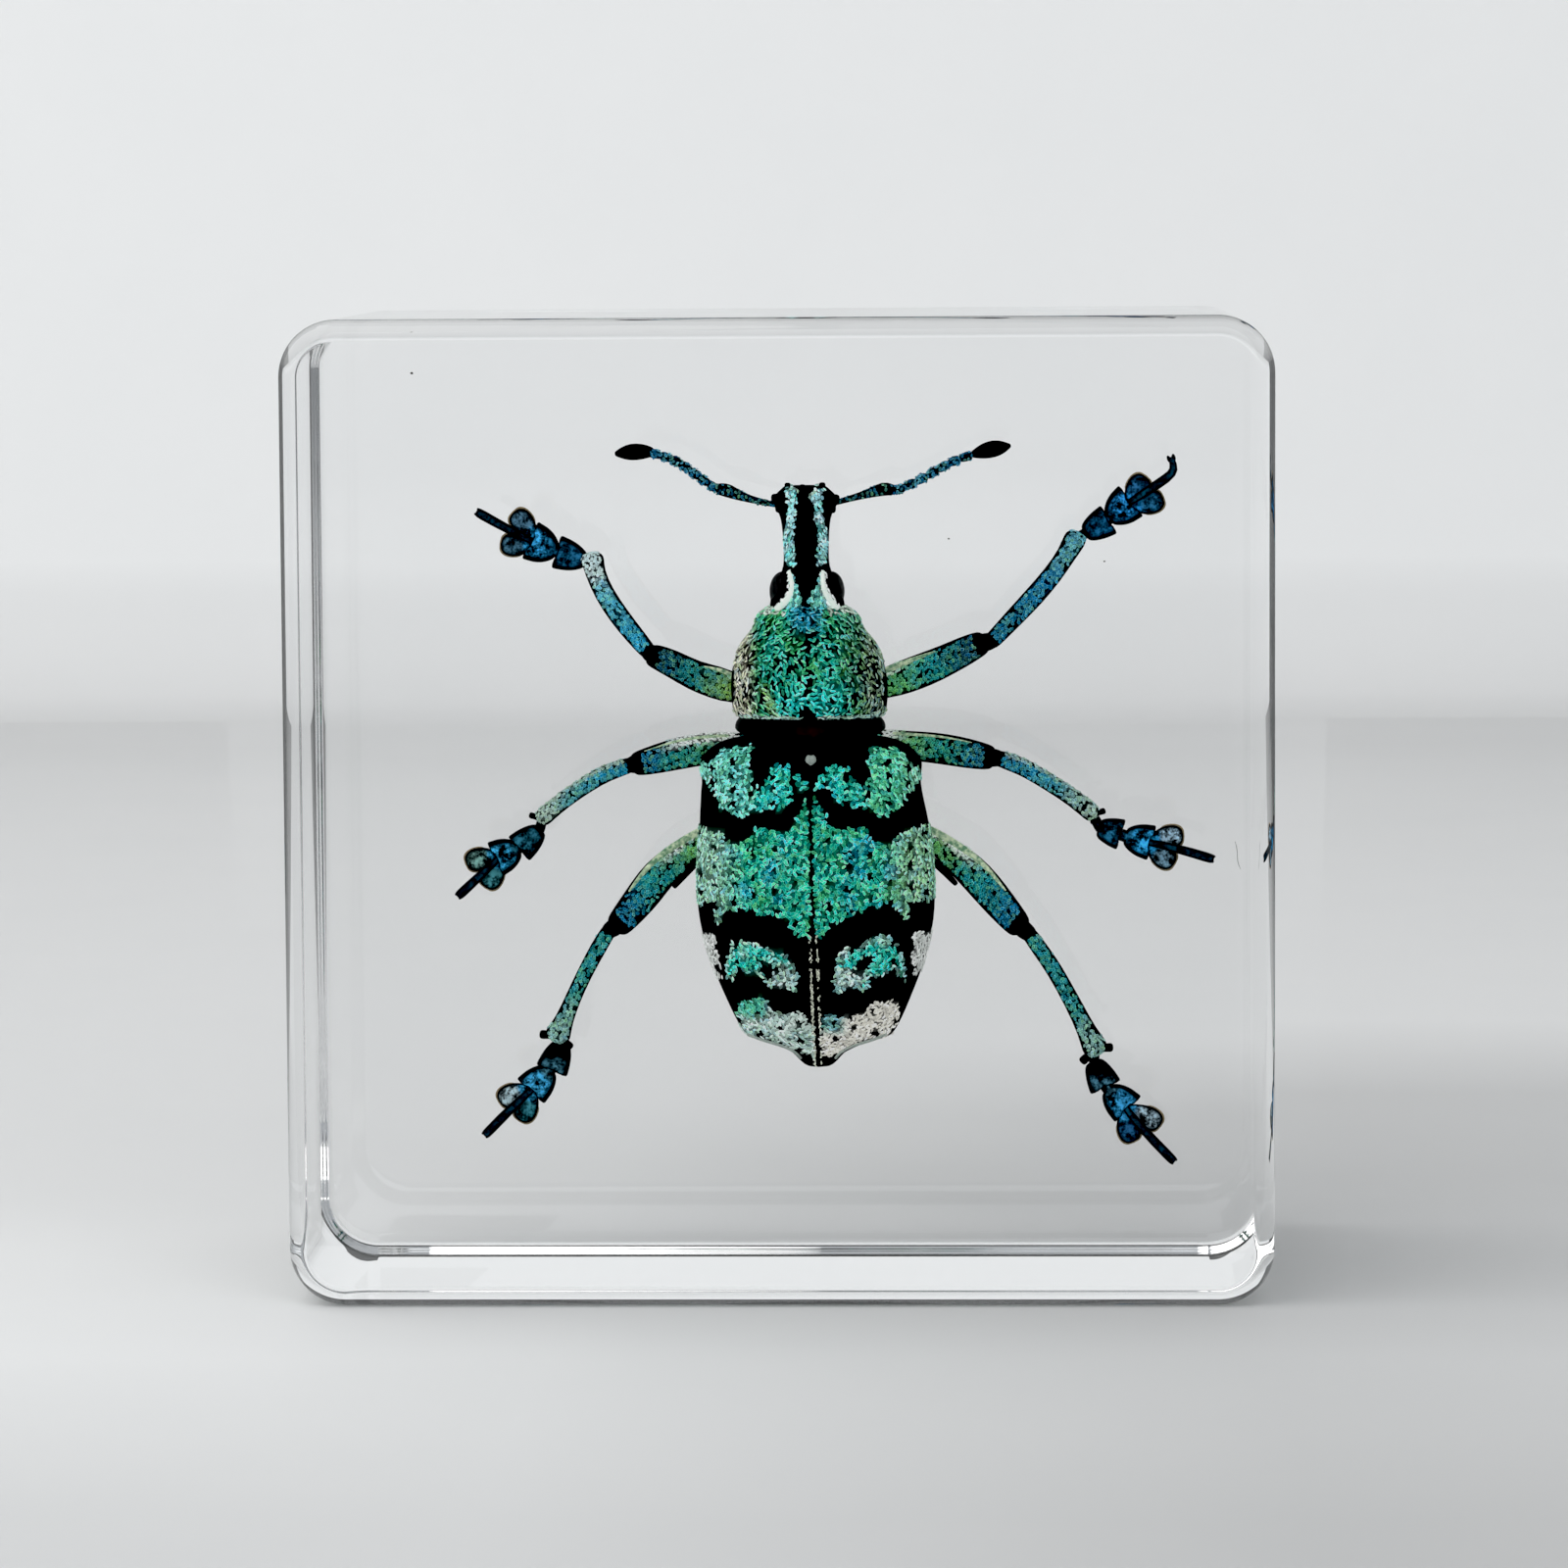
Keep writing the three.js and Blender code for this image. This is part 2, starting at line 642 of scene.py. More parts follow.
HEAD_STATIONS = [
    (30.9, 1.4, 9.0, 12.9),
    (31.4, 1.78, 8.9, 12.8),
    (31.9, 1.72, 8.9, 12.7),
    (32.4, 1.52, 9.0, 12.6),
    (33.0, 1.24, 9.2, 12.4),
    (33.4, 1.05, 9.6, 12.3),
    (34.1, 1.04, 10.0, 12.3),
    (35.0, 1.08, 10.4, 12.5),
    (35.6, 1.15, 10.7, 12.7),
    (35.95, 1.3, 10.9, 12.9),
    (36.2, 1.5, 11.0, 13.0),
    (36.55, 1.52, 11.05, 13.0),
    (36.8, 1.28, 11.1, 13.0),
    (37.0, 1.05, 11.2, 12.9),
    (37.14, 0.92, 11.4, 12.7),
]

MIDPLANE_NORMAL = Vector((1, 0, MIDLINE_LEAN)).normalized()
# The left case is a little slimmer, from each height down, by each share.
LEFT_SLIMMING = ((22.9, 0.99), (22.3, 0.988), (21.7, 0.988))
SLIMMING_CENTRE = (midline(18), 18, 10)
SUTURE_GAP = 0.015  # half the gap between the cases
SUTURE_ROUND = 0.13
MARGIN_DEPTH = 11.6  # where the cases' side margins are cut
CASE_SMOOTH_ANGLE = 50


def wing_cases(finish):
    """Two wing cases: one domed body, cut along the midline and along the side margin."""
    dome = trunk("wing_cases", WING_CASE_STATIONS, sides=48)
    pair = []
    for side, name in ((-1, "wing_case_left"), (1, "wing_case_right")):
        case = copy_of(dome, name)
        edit(case)
        for height, share in LEFT_SLIMMING if side < 0 else ():
            pick(case, "verts", lambda v: v.co.z < height * MM)
            bpy.ops.transform.resize(value=(share, 1, 1), center_override=place(*SLIMMING_CENTRE))
        bpy.ops.mesh.select_all(action="SELECT")
        cut_at = place(midline(20), 20, 10) + MIDPLANE_NORMAL * side * SUTURE_GAP * MM
        bpy.ops.mesh.bisect(
            plane_co=cut_at, plane_no=MIDPLANE_NORMAL * side, use_fill=True, clear_inner=True
        )
        bpy.ops.mesh.select_all(action="SELECT")
        bpy.ops.mesh.bisect(
            plane_co=place(0, 0, MARGIN_DEPTH), plane_no=(0, 1, 0), use_fill=True, clear_outer=True
        )
        on_cut = lambda vert: abs((vert.co - cut_at).dot(MIDPLANE_NORMAL)) < 1e-6
        pick(case, "edges", lambda edge: all(on_cut(vert) for vert in edge.verts))
        bpy.ops.mesh.bevel(offset=SUTURE_ROUND * MM, segments=3, profile=0.5)
        done()
        settle(case)
        smooth(case, 0)
        bpy.ops.object.shade_smooth_by_angle(angle=math.radians(CASE_SMOOTH_ANGLE))
        finish_piece(case, finish)
        pair.append(case)
    bpy.data.objects.remove(dome)
    return pair


# The pale line along the hind edge of the wing cases, as (distance from the midline, height, depth).
HIND_EDGE = [(3.2, 11.72, 9.75), (2.7, 11.5, 9.7), (2.1, 11.32, 9.72), (1.5, 11.13, 9.85),
             (1.05, 10.88, 9.95), (0.8, 10.55, 10.3)]
HIND_EDGE_HALF = 0.07


def hind_edge(finish):
    """The thin pale line along the hind edge of both wing cases."""
    lines = []
    for side, name in ((-1, "hind_edge_left"), (1, "hind_edge_right")):
        path = [(midline(z) + side * x, z, depth, HIND_EDGE_HALF) for x, z, depth in HIND_EDGE]
        lines.append(limb(name, path, sides=8))
    return finish_piece(join("wing_case_hind_edge", lines), finish)


# The white brow ridges beside the eyes, as (distance from the midline, height, depth, half width).
BROWS = {
    "brow_left": [(-0.79, 33.22, 9.6, 0.09), (-0.62, 32.72, 9.2, 0.12), (-0.64, 32.24, 9.12, 0.15),
                  (-0.94, 31.82, 9.16, 0.18), (-1.38, 31.48, 9.3, 0.14)],
    "brow_right": [(0.79, 33.22, 9.6, 0.09), (0.74, 32.72, 9.2, 0.11), (0.86, 32.24, 9.15, 0.13),
                   (1.12, 31.84, 9.2, 0.15), (1.42, 31.52, 9.32, 0.12)],
}
# The black knobs round the tip of the snout, as (distance from the midline, height, depth, half width).
SNOUT_KNOBS = [(-1.36, 36.5, 11.6, 0.24), (1.38, 36.46, 11.6, 0.24), (-1.22, 36.05, 11.5, 0.2),
               (1.24, 36.02, 11.5, 0.2), (-0.8, 37.08, 11.8, 0.16), (0.8, 37.08, 11.8, 0.17),
               (-0.12, 36.98, 11.9, 0.18), (0.3, 36.96, 11.9, 0.16)]


def head_trim(white, black):
    """The white brows, and the knobs round the tip of the snout."""
    brows = []
    for name, path in BROWS.items():
        route = [(midline(z) + x, z, depth, half) for x, z, depth, half in path]
        brows.append(limb(name, route, sides=10, flat=0.7))
    finish_piece(join("brows", brows), white)
    knobs = []
    for number, (x, z, depth, half) in enumerate(SNOUT_KNOBS):
        at = midline(z) + x
        rings = [(at, z - half * 0.4, depth, half * 0.9), (at, z + half * 0.4, depth, half)]
        knobs.append(limb("knob%d" % number, rings, sides=10))
    return finish_piece(join("snout_knobs", knobs), black)


HIP_IN = 1.0  # how far inwards of each thigh's root its hip reaches
HIP_HALF = 0.82


# The pale ridge along the upper edge of each thigh, a raised painted highlight, as (share of the thigh
# reached, half width).
THIGH_HIGHLIGHT_RIDGES = {
    "front_left": (0.55, 0.13), "front_right": (0.66, 0.17), "middle_left": (0.92, 0.08),
    "middle_right": (0.84, 0.08), "hind_left": (0.78, 0.2), "hind_right": (0.78, 0.2),
}
RIDGE_START = 0.2
RIDGE_RINGS = 6
RIDGE_OUT = 0.78  # where it lies on the thigh, as shares of the thigh's half width
RIDGE_FORWARD = 0.62


def thigh_highlight_ridges(finish):
    """The pale scaled ridge along the upper edge of each thigh, thinning towards the knee: a raised painted
    highlight.
    """
    lines = []
    for name, (reach, half) in THIGH_HIGHLIGHT_RIDGES.items():
        path = LEGS[name]["femur"]
        rings = []
        for number in range(RIDGE_RINGS):
            part = number / (RIDGE_RINGS - 1)
            share = RIDGE_START + (reach - RIDGE_START) * part
            at = along_route(path, share)
            ahead = along_route(path, share + 0.02) - at
            up = Vector((-ahead[1], ahead[0])).normalized()
            if up.y < 0:
                up.negate()
            x = at[0] + up.x * at[3] * RIDGE_OUT
            z = at[1] + up.y * at[3] * RIDGE_OUT
            rings.append((x, z, at[2] - at[3] * RIDGE_FORWARD, half * (1 - 0.75 * part * part)))
        lines.append(limb(name + "_ridge", rings, sides=10, flat=0.9))
    return finish_piece(join("thigh_highlight_ridges", lines), finish)


def hips(finish):
    """The rounded black hips that carry the legs under the body."""
    made = []
    for name, leg in LEGS.items():
        x, z, depth, half = leg["femur"][0]
        inward = HIP_IN if name.endswith("left") else -HIP_IN
        rings = [
            (x + inward, z + 0.25, depth - 0.15, HIP_HALF),
            (x + inward * 0.4, z + 0.1, depth, HIP_HALF * 0.95),
            (x, z, depth, half * 1.1),
        ]
        made.append(limb(name + "_hip", rings, sides=12, flat=0.8))
    return finish_piece(join("hips", made), finish)


def neck_notch(piece):
    """A small V-shaped dip where the pronotum's hind edge meets the midline."""
    edit(piece)
    middle = midline(26.5) * MM
    found = pick(
        piece,
        "verts",
        lambda v: abs(v.co.x - middle) < 0.3 * MM and v.co.z < 26.75 * MM and v.co.y < place(0, 0, 9).y,
    )
    if found:
        bpy.ops.transform.translate(value=(0, 0.25 * MM, 0.1 * MM))
    done()


def snout_groove(piece):
    """The groove down the back of the snout and the notch in its tip."""
    edit(piece)

    def in_groove(vert):
        z = vert.co.z / MM
        across = abs(vert.co.x / MM - midline(z) - 0.03)
        return 33.6 < z < 36.6 and across < 0.32 and vert.co.y < place(0, 0, 11.6).y

    pick(piece, "verts", in_groove)
    bpy.ops.transform.translate(value=(0, 0.22 * MM, 0))

    def in_notch(vert):
        z = vert.co.z / MM
        return z > 36.85 and abs(vert.co.x / MM - midline(z)) < 0.3 and vert.co.y < place(0, 0, 12.1).y

    pick(piece, "verts", in_notch)
    bpy.ops.transform.translate(value=(0, 0.1 * MM, -0.2 * MM))
    done()


def body_pieces():
    """The wing cases, belly, pronotum, collar, head and eyes; gives those that carry scales."""
    shell = cuticle_finish()
    pieces = {}
    pieces["wing_cases"] = wing_cases(shell)
    pieces["belly"] = finish_piece(trunk("belly", BELLY_STATIONS, sides=40), shell)
    pronotum = trunk("pronotum", PRONOTUM_STATIONS, sides=48)
    neck_notch(pronotum)
    pieces["pronotum"] = finish_piece(pronotum, shell)
    neck = trunk("neck_collar", NECK_STATIONS, sides=40)
    finish_piece(neck, neck_finish())
    head = trunk("head_and_snout", HEAD_STATIONS, sides=32)
    snout_groove(head)
    pieces["head"] = finish_piece(head, shell)
    eyes()
    return pieces


EYE_HEIGHT = 32.25
EYE_OUT = 1.12  # how far each eye's middle is from the midline
EYE_DEPTH = 10.9
EYE_SIZE = (0.62, 1.15, 0.92)
EYE_INNER = (0.4, 0.8, 0.85)  # how much its inner side is drawn in


def eyes():
    """Two domed eyes set into the sides of the head."""
    finish = eye_finish()
    for side, name in ((-1, "eye_left"), (1, "eye_right")):
        deselect()
        centre = place(midline(EYE_HEIGHT) + side * EYE_OUT, EYE_HEIGHT, EYE_DEPTH)
        bpy.ops.mesh.primitive_uv_sphere_add(segments=32, ring_count=16, radius=MM, location=centre)
        eye = bpy.context.object
        eye.name = name
        settle(eye)
        edit(eye)
        bpy.ops.mesh.select_all(action="SELECT")
        bpy.ops.transform.resize(value=EYE_SIZE, center_override=centre)
        pick(eye, "verts", lambda v: (v.co.x - centre.x) * side < -0.2 * MM)
        bpy.ops.transform.resize(value=EYE_INNER, center_override=centre)
        done()
        settle(eye)
        smooth(eye, 0)
        finish_piece(eye, finish)


# ---------------------------------------------------------------- legs and antennae

# Each stretch is a list of (x, height, depth, half width), from the body outwards.
LEGS = {
    "front_left": {
        "femur": [(-0.9, 27.5, 14.0, 0.6), (-2.4, 27.6, 14.0, 0.74), (-3.15, 27.9, 13.8, 0.82),
                  (-4.14, 28.2, 13.5, 0.72), (-5.2, 28.85, 13.0, 0.67), (-6.0, 29.2, 12.7, 0.58)],
        "tibia": [(-6.3, 29.45, 12.5, 0.42), (-6.88, 30.13, 12.6, 0.47), (-7.61, 31.03, 12.8, 0.5),
                  (-8.31, 32.06, 13.0, 0.49), (-8.75, 33.07, 13.2, 0.48), (-8.84, 33.65, 13.4, 0.57)],
        "first": [(-9.3, 33.62, 13.7, 0.36), (-10.35, 33.95, 13.9, 0.8)],
        "second": [(-10.65, 34.05, 13.9, 0.4), (-11.55, 34.45, 14.0, 0.95)],
        "lobes": [(-12.14, 35.42, 14.1), (-12.56, 34.32, 14.1)],
        "claw": [(-12.1, 34.72, 13.8, 0.16), (-12.9, 35.12, 13.8, 0.18), (-14.15, 35.83, 13.9, 0.2)],
    },
    "middle_left": {
        "femur": [(-1.5, 24.9, 14.3, 0.6), (-2.6, 24.85, 14.2, 0.7), (-3.6, 24.8, 14.0, 0.78),
                  (-4.9, 24.6, 13.7, 0.78), (-6.0, 24.33, 13.4, 0.7), (-6.8, 24.15, 13.2, 0.6)],
        "tibia": [(-7.15, 24.1, 13.0, 0.38), (-7.9, 23.86, 13.1, 0.42), (-8.65, 23.54, 13.2, 0.42),
                  (-9.76, 22.82, 13.4, 0.41), (-10.72, 22.12, 13.7, 0.42), (-11.3, 21.6, 13.9, 0.46)],
        "first": [(-11.5, 20.95, 14.0, 0.36), (-12.3, 20.25, 14.1, 0.76)],
        "second": [(-12.55, 20.1, 14.1, 0.4), (-13.35, 19.72, 14.2, 0.88)],
        "lobes": [(-14.38, 19.62, 14.3), (-13.72, 18.79, 14.3)],
        "claw": [(-13.85, 19.25, 14.0, 0.16), (-14.3, 18.84, 14.0, 0.18), (-15.25, 17.96, 14.1, 0.2)],
    },
    "hind_left": {
        "femur": [(-2.6, 21.1, 14.6, 0.55), (-4.2, 20.3, 14.8, 0.56), (-5.1, 19.6, 14.6, 0.74),
                  (-5.95, 18.85, 14.3, 0.84), (-6.55, 18.05, 14.0, 0.84), (-7.15, 17.3, 13.7, 0.76),
                  (-7.75, 16.62, 13.4, 0.66)],
        "tibia": [(-8.25, 16.3, 13.2, 0.38), (-8.75, 15.5, 13.3, 0.4), (-9.25, 14.57, 13.4, 0.38),
                  (-9.72, 13.64, 13.6, 0.38), (-10.19, 12.57, 13.8, 0.4), (-10.53, 11.75, 14.0, 0.5),
                  (-10.68, 11.42, 14.0, 0.66)],
        "first": [(-10.5, 10.95, 14.1, 0.34), (-10.95, 9.85, 14.3, 0.78)],
        "second": [(-11.15, 9.6, 14.3, 0.4), (-11.85, 8.85, 14.4, 0.88)],
        "lobes": [(-13.0, 8.45, 14.5), (-12.25, 7.76, 14.5)],
        "claw": [(-12.1, 8.65, 14.2, 0.16), (-12.66, 8.15, 14.2, 0.18), (-14.12, 6.66, 14.3, 0.2)],
    },
    "front_right": {
        "femur": [(3.3, 27.5, 14.0, 0.62), (4.9, 27.85, 14.0, 0.74), (5.6, 28.1, 13.9, 0.82),
                  (6.65, 28.5, 13.7, 0.82), (7.6, 28.93, 13.3, 0.75), (8.5, 29.4, 12.9, 0.7),
                  (9.15, 29.72, 12.7, 0.6)],
        "tibia": [(9.7, 29.85, 12.5, 0.42), (10.2, 30.36, 12.6, 0.44), (10.82, 31.01, 12.7, 0.47),
                  (11.64, 31.86, 12.9, 0.5), (12.53, 32.88, 13.1, 0.48), (13.19, 33.84, 13.3, 0.46),
                  (13.55, 34.5, 13.5, 0.58)],
        "first": [(14.1, 34.8, 13.8, 0.38), (14.95, 35.3, 13.9, 0.76)],
        "second": [(15.2, 35.5, 13.9, 0.4), (15.95, 36.1, 14.0, 0.92)],
        "lobes": [(16.47, 36.9, 14.1), (17.08, 36.17, 14.1)],
        "claw": [(16.3, 36.3, 13.8, 0.16), (16.85, 36.68, 13.8, 0.18), (17.9, 37.35, 13.9, 0.2),
                 (18.2, 37.7, 13.9, 0.18), (18.03, 38.2, 13.9, 0.12)],
    },
    "middle_right": {
        "femur": [(3.9, 25.1, 14.3, 0.6), (5.2, 24.95, 14.2, 0.68), (6.4, 24.85, 14.0, 0.73),
                  (7.5, 24.75, 13.7, 0.75), (8.6, 24.55, 13.4, 0.72), (9.5, 24.4, 13.1, 0.62)],
        "tibia": [(10.0, 24.35, 13.0, 0.4), (10.7, 24.1, 13.1, 0.43), (11.35, 23.82, 13.2, 0.43),
                  (12.39, 23.16, 13.5, 0.43), (13.53, 22.41, 13.7, 0.43), (14.3, 21.72, 14.0, 0.46)],
        "first": [(14.7, 21.0, 14.0, 0.4), (15.5, 20.75, 14.1, 0.74)],
        "second": [(15.95, 20.6, 14.1, 0.4), (16.85, 20.36, 14.2, 0.85)],
        "lobes": [(17.96, 20.6, 14.3), (17.64, 19.63, 14.3)],
        "claw": [(17.4, 20.2, 14.0, 0.16), (18.2, 20.08, 14.0, 0.18), (19.85, 19.57, 14.1, 0.2)],
    },
    "hind_right": {
        "femur": [(5.3, 21.2, 14.6, 0.5), (6.9, 20.45, 14.8, 0.5), (7.75, 19.8, 14.6, 0.7),
                  (8.65, 19.05, 14.3, 0.82), (9.35, 18.3, 14.0, 0.83), (10.1, 17.4, 13.7, 0.77),
                  (10.85, 16.55, 13.4, 0.66)],
        "tibia": [(11.4, 16.1, 13.2, 0.38), (11.95, 15.3, 13.3, 0.4), (12.49, 14.54, 13.4, 0.4),
                  (13.42, 12.83, 13.7, 0.4), (14.1, 11.4, 14.0, 0.46), (14.42, 10.75, 14.0, 0.66)],
        "first": [(14.4, 9.95, 14.1, 0.4), (14.85, 9.0, 14.3, 0.78)],
        "second": [(15.1, 8.65, 14.3, 0.4), (15.8, 7.95, 14.4, 0.88)],
        "lobes": [(17.0, 7.33, 14.5), (16.0, 6.77, 14.5)],
        "claw": [(15.95, 7.75, 14.2, 0.16), (16.4, 7.1, 14.2, 0.18), (18.05, 5.38, 14.3, 0.2)],
    },
}

ANTENNAE = {
    "left": {
        "scape": [(-0.2, 36.2, 12.0, 0.13), (-1.0, 36.36, 11.8, 0.15), (-1.9, 36.62, 11.6, 0.22),
                  (-2.45, 36.9, 11.5, 0.36), (-2.85, 36.97, 11.5, 0.3)],
        "thread": [(-2.95, 36.92, 11.5), (-3.8, 37.52, 11.4), (-4.4, 37.98, 11.4), (-5.0, 38.36, 11.4),
                   (-6.1, 38.68, 11.5)],
        "club": [(-6.05, 38.7, 11.5, 0.26), (-6.4, 38.72, 11.5, 0.38), (-6.95, 38.7, 11.6, 0.43),
                 (-7.4, 38.65, 11.6, 0.28), (-7.62, 38.62, 11.6, 0.14)],
    },
    "right": {
        "scape": [(2.3, 36.25, 12.0, 0.13), (3.2, 36.5, 11.8, 0.15), (4.1, 36.75, 11.6, 0.22),
                  (4.72, 36.97, 11.5, 0.37), (5.1, 36.9, 11.5, 0.28)],
        "thread": [(5.15, 36.82, 11.5), (6.2, 37.25, 11.4), (7.0, 37.68, 11.4), (7.8, 38.15, 11.4),
                   (8.8, 38.5, 11.5)],
        "club": [(8.9, 38.53, 11.5, 0.2), (9.3, 38.65, 11.5, 0.38), (9.85, 38.78, 11.6, 0.44),
                 (10.3, 38.85, 11.6, 0.28), (10.52, 38.9, 11.6, 0.12)],
    },
}

BEADS = 7


PAD_STRETCH = 1.18


def pad(name, start, end, notch, flat=0.5):
    """A foot joint: narrow where it starts, a fan with pointed corners where it ends."""
    x0, z0, depth0, half0 = start
    x1, z1, depth1, half1 = end
    rings = []
    for share, width in (
        (-0.14, half0 * 0.8), (0.0, half0 * 1.25), (0.35, half1 * 0.84), (0.75, half1 * 0.97),
        (PAD_STRETCH - 0.06, half1 * 1.06), (PAD_STRETCH, half1 * 0.98),
    ):
        rings.append(
            (x0 + (x1 - x0) * share, z0 + (z1 - z0) * share, depth0 + (depth1 - depth0) * share, width)
        )
    piece = limb(name, rings, sides=12, flat=flat, round_ends=False)
    edit(piece)
    along = Vector((x1 - x0, 0, z1 - z0)).normalized()
    tip = place(x1, z1, depth1)
    at_end = lambda v: (v.co - tip).dot(along) > -0.12 * MM
    pick(piece, "verts", lambda v: at_end(v) and (v.co - tip).length < half1 * 0.35 * MM)
    bpy.ops.transform.translate(value=along * -notch * MM)
    pick(piece, "verts", lambda v: at_end(v) and (v.co - tip).length > half1 * 0.6 * MM)
    bpy.ops.transform.translate(value=along * notch * 0.6 * MM)
    done()
    return piece


SOLE_RINGS = ((-0.54, 0.37), (-0.2, 0.54), (0.18, 0.58), (0.46, 0.46), (0.62, 0.24))


def sole_direction(joint, centre, along):
    """The way a sole points: between the foot's own way and the way from its joint."""
    out = Vector((centre[0] - joint[0], centre[1] - joint[1])).normalized()
    return (Vector(along) + out * 1.2).normalized()


def lobe(name, joint, centre, along, grow=0.0, flat=0.4):
    """One of the two oval soles at the end of a foot; grow makes it that much wider and longer."""
    x, z, depth = centre
    way = sole_direction(joint, centre, along)
    rings = []
    if not grow:
        out = Vector((x - joint[0], z - joint[1])).normalized()
        rings.append((joint[0] + out.x * 0.15, joint[1] + out.y * 0.15, depth, 0.16))
    for reach, half in SOLE_RINGS:
        reach += grow * (1.0 if reach > 0 else -0.2)
        rings.append((x + way.x * reach, z + way.y * reach, depth, half + grow))
    return limb(name, rings, sides=12, flat=flat, round_ends=False)


# How far the black rim at a shin's far end reaches to either side, and how thick it is.
SHIN_RIMS = {
    "middle_left": (0.44, 0.26, 0.17),
    "middle_right": (0.26, 0.44, 0.17),
    "hind_left": (0.66, 0.72, 0.24),
    "hind_right": (0.76, 0.64, 0.24),
}
# A black strip along the inner side of each hind thigh, built as a raised piece of shell.
INNER_STRIPS = {
    "hind_left": [(-2.9, 20.45, 14.7, 0.13), (-3.75, 19.85, 14.8, 0.2), (-4.55, 19.05, 14.7, 0.2),
                  (-5.2, 18.3, 14.5, 0.14)],
    "hind_right": [(5.5, 20.5, 14.7, 0.13), (6.4, 19.9, 14.8, 0.2), (7.25, 19.15, 14.7, 0.2),
                   (7.95, 18.4, 14.5, 0.14)],
}


def shin_rim(name, path):
    """The black rim round the far end of a shin, drawn out into a blunt corner on each side."""
    x, z, depth = path[-1][:3]
    before = path[-2]
    along = Vector((x - before[0], z - before[1])).normalized()
    left, right, thick = SHIN_RIMS[name]
    rings = []
    for reach, back, width in (
        (-left, 0.05, thick), (-left * 0.5, -0.08, thick * 0.8), (0.0, -0.12, thick * 0.6),
        (right * 0.5, -0.08, thick * 0.8), (right, 0.05, thick),
    ):
        at_x = x + along.y * reach * -1 + along.x * (0.3 + back)
        at_z = z + along.x * reach + along.y * (0.3 + back)
        rings.append((at_x, at_z, depth - 0.05, width))
    return limb(name + "_shin_rim", rings, sides=10, flat=1.3)


CLAW_STOUT = 1.28
HAIR_REACH = 0.055  # how far the hairs reach past a sole
HAIR_FLAT = 0.16
HAIR_BEHIND = 0.08


def leg_pieces(finish, foot):
    """Six legs, each of a thigh, a knee, a shin, a foot with its soles and a claw joint."""
    hair = fringe_finish()
    legs = {}
    for name, leg in LEGS.items():
        thigh = limb(name + "_femur", leg["femur"], sides=14, flat=0.85)
        finish_piece(thigh, finish)
        shin_path = leg["tibia"]
        shin = limb(name + "_tibia", shin_path, sides=12, flat=0.9)
        finish_piece(shin, finish)
        knee_from = leg["femur"][-1]
        knee_to = shin_path[0]
        joint_path = [
            (knee_from[0], knee_from[1], knee_from[2], 0.42),
            ((knee_from[0] + knee_to[0]) / 2, (knee_from[1] + knee_to[1]) / 2, knee_to[2] + 0.05, 0.46),
            (knee_to[0], knee_to[1], knee_to[2], 0.4),
        ]
        dark = [limb(name + "_knee", joint_path, sides=12)]
        if name in SHIN_RIMS:
            dark.append(shin_rim(name, shin_path))
        if name in INNER_STRIPS:
            dark.append(limb(name + "_keel", INNER_STRIPS[name], sides=10, flat=1.4))
        finish_piece(join(name + "_knee", dark), finish)
        first, second = leg["first"], leg["second"]
        parts = [pad(name + "_pad_one", *first, 0.1), pad(name + "_pad_two", *second, 0.2)]
        joint = second[1][:3]
        bx, bz = leg["claw"][-1][:2]
        along = Vector((bx - joint[0], bz - joint[1])).normalized()
        fringes = []
        for number, centre in enumerate(leg["lobes"]):
            parts.append(lobe(name + "_lobe%d" % number, joint, centre, along))
            behind = (centre[0], centre[1], centre[2] + HAIR_BEHIND)
            fringes.append(lobe(name + "_fringe%d" % number, joint, behind, along, HAIR_REACH, HAIR_FLAT))
        shin_end = shin_path[-1]
        ankle = [(shin_end[0], shin_end[1], shin_end[2] + 0.25, 0.24),
                 (first[0][0], first[0][1], first[0][2] + 0.1, 0.28)]
        parts.append(limb(name + "_ankle", ankle, sides=10))
        between = [(first[1][0], first[1][1], first[1][2] + 0.05, 0.3),
                   (second[0][0], second[0][1], second[0][2] + 0.05, 0.32)]
        parts.append(limb(name + "_link", between, sides=10))
        foot_piece = finish_piece(join(name + "_foot", parts), foot)
        finish_piece(join(name + "_sole_hair", fringes), hair)
        stalk = [joint[:2] + (leg["claw"][0][2], 0.17)]
        stalk += [point[:3] + (point[3] * CLAW_STOUT,) for point in leg["claw"][1:]]
        claws = finish_piece(claw(name + "_claw", stalk), foot)
        legs[name] = {"femur": thigh, "tibia": shin, "foot": foot_piece, "claw": claws}
    return legs


def claw(name, path):
    """The thin last joint with two short hooks at its tip."""
    stalk = limb(name, path, sides=10, flat=0.9)
    x, z, depth = path[-1][:3]
    before = path[-2]
    angle = math.atan2(z - before[1], x - before[0])
    hooks = []
    for side in (-1, 1):
        rings = []
        for reach, spread, width in ((-0.05, 0.08, 0.13), (0.08, 0.12, 0.11), (0.17, 0.13, 0.05)):
            out = math.cos(angle) * reach - math.sin(angle) * spread * side
            up = math.sin(angle) * reach + math.cos(angle) * spread * side
            rings.append((x + out, z + up, depth + reach * 0.8, width))
        hooks.append(limb(name + "_hook%d" % side, rings, sides=8))
    return join(name, [stalk] + hooks)


def along_route(route, share):
    """A point at a share of a route's length."""
    points = [Vector(point) for point in route]
    spans = [(b - a).length for a, b in zip(points, points[1:])]
    left = share * sum(spans)
    for start, end, span in zip(points, points[1:], spans):
        if left <= span:
            return start.lerp(end, left / span)
        left -= span
    return points[-1]


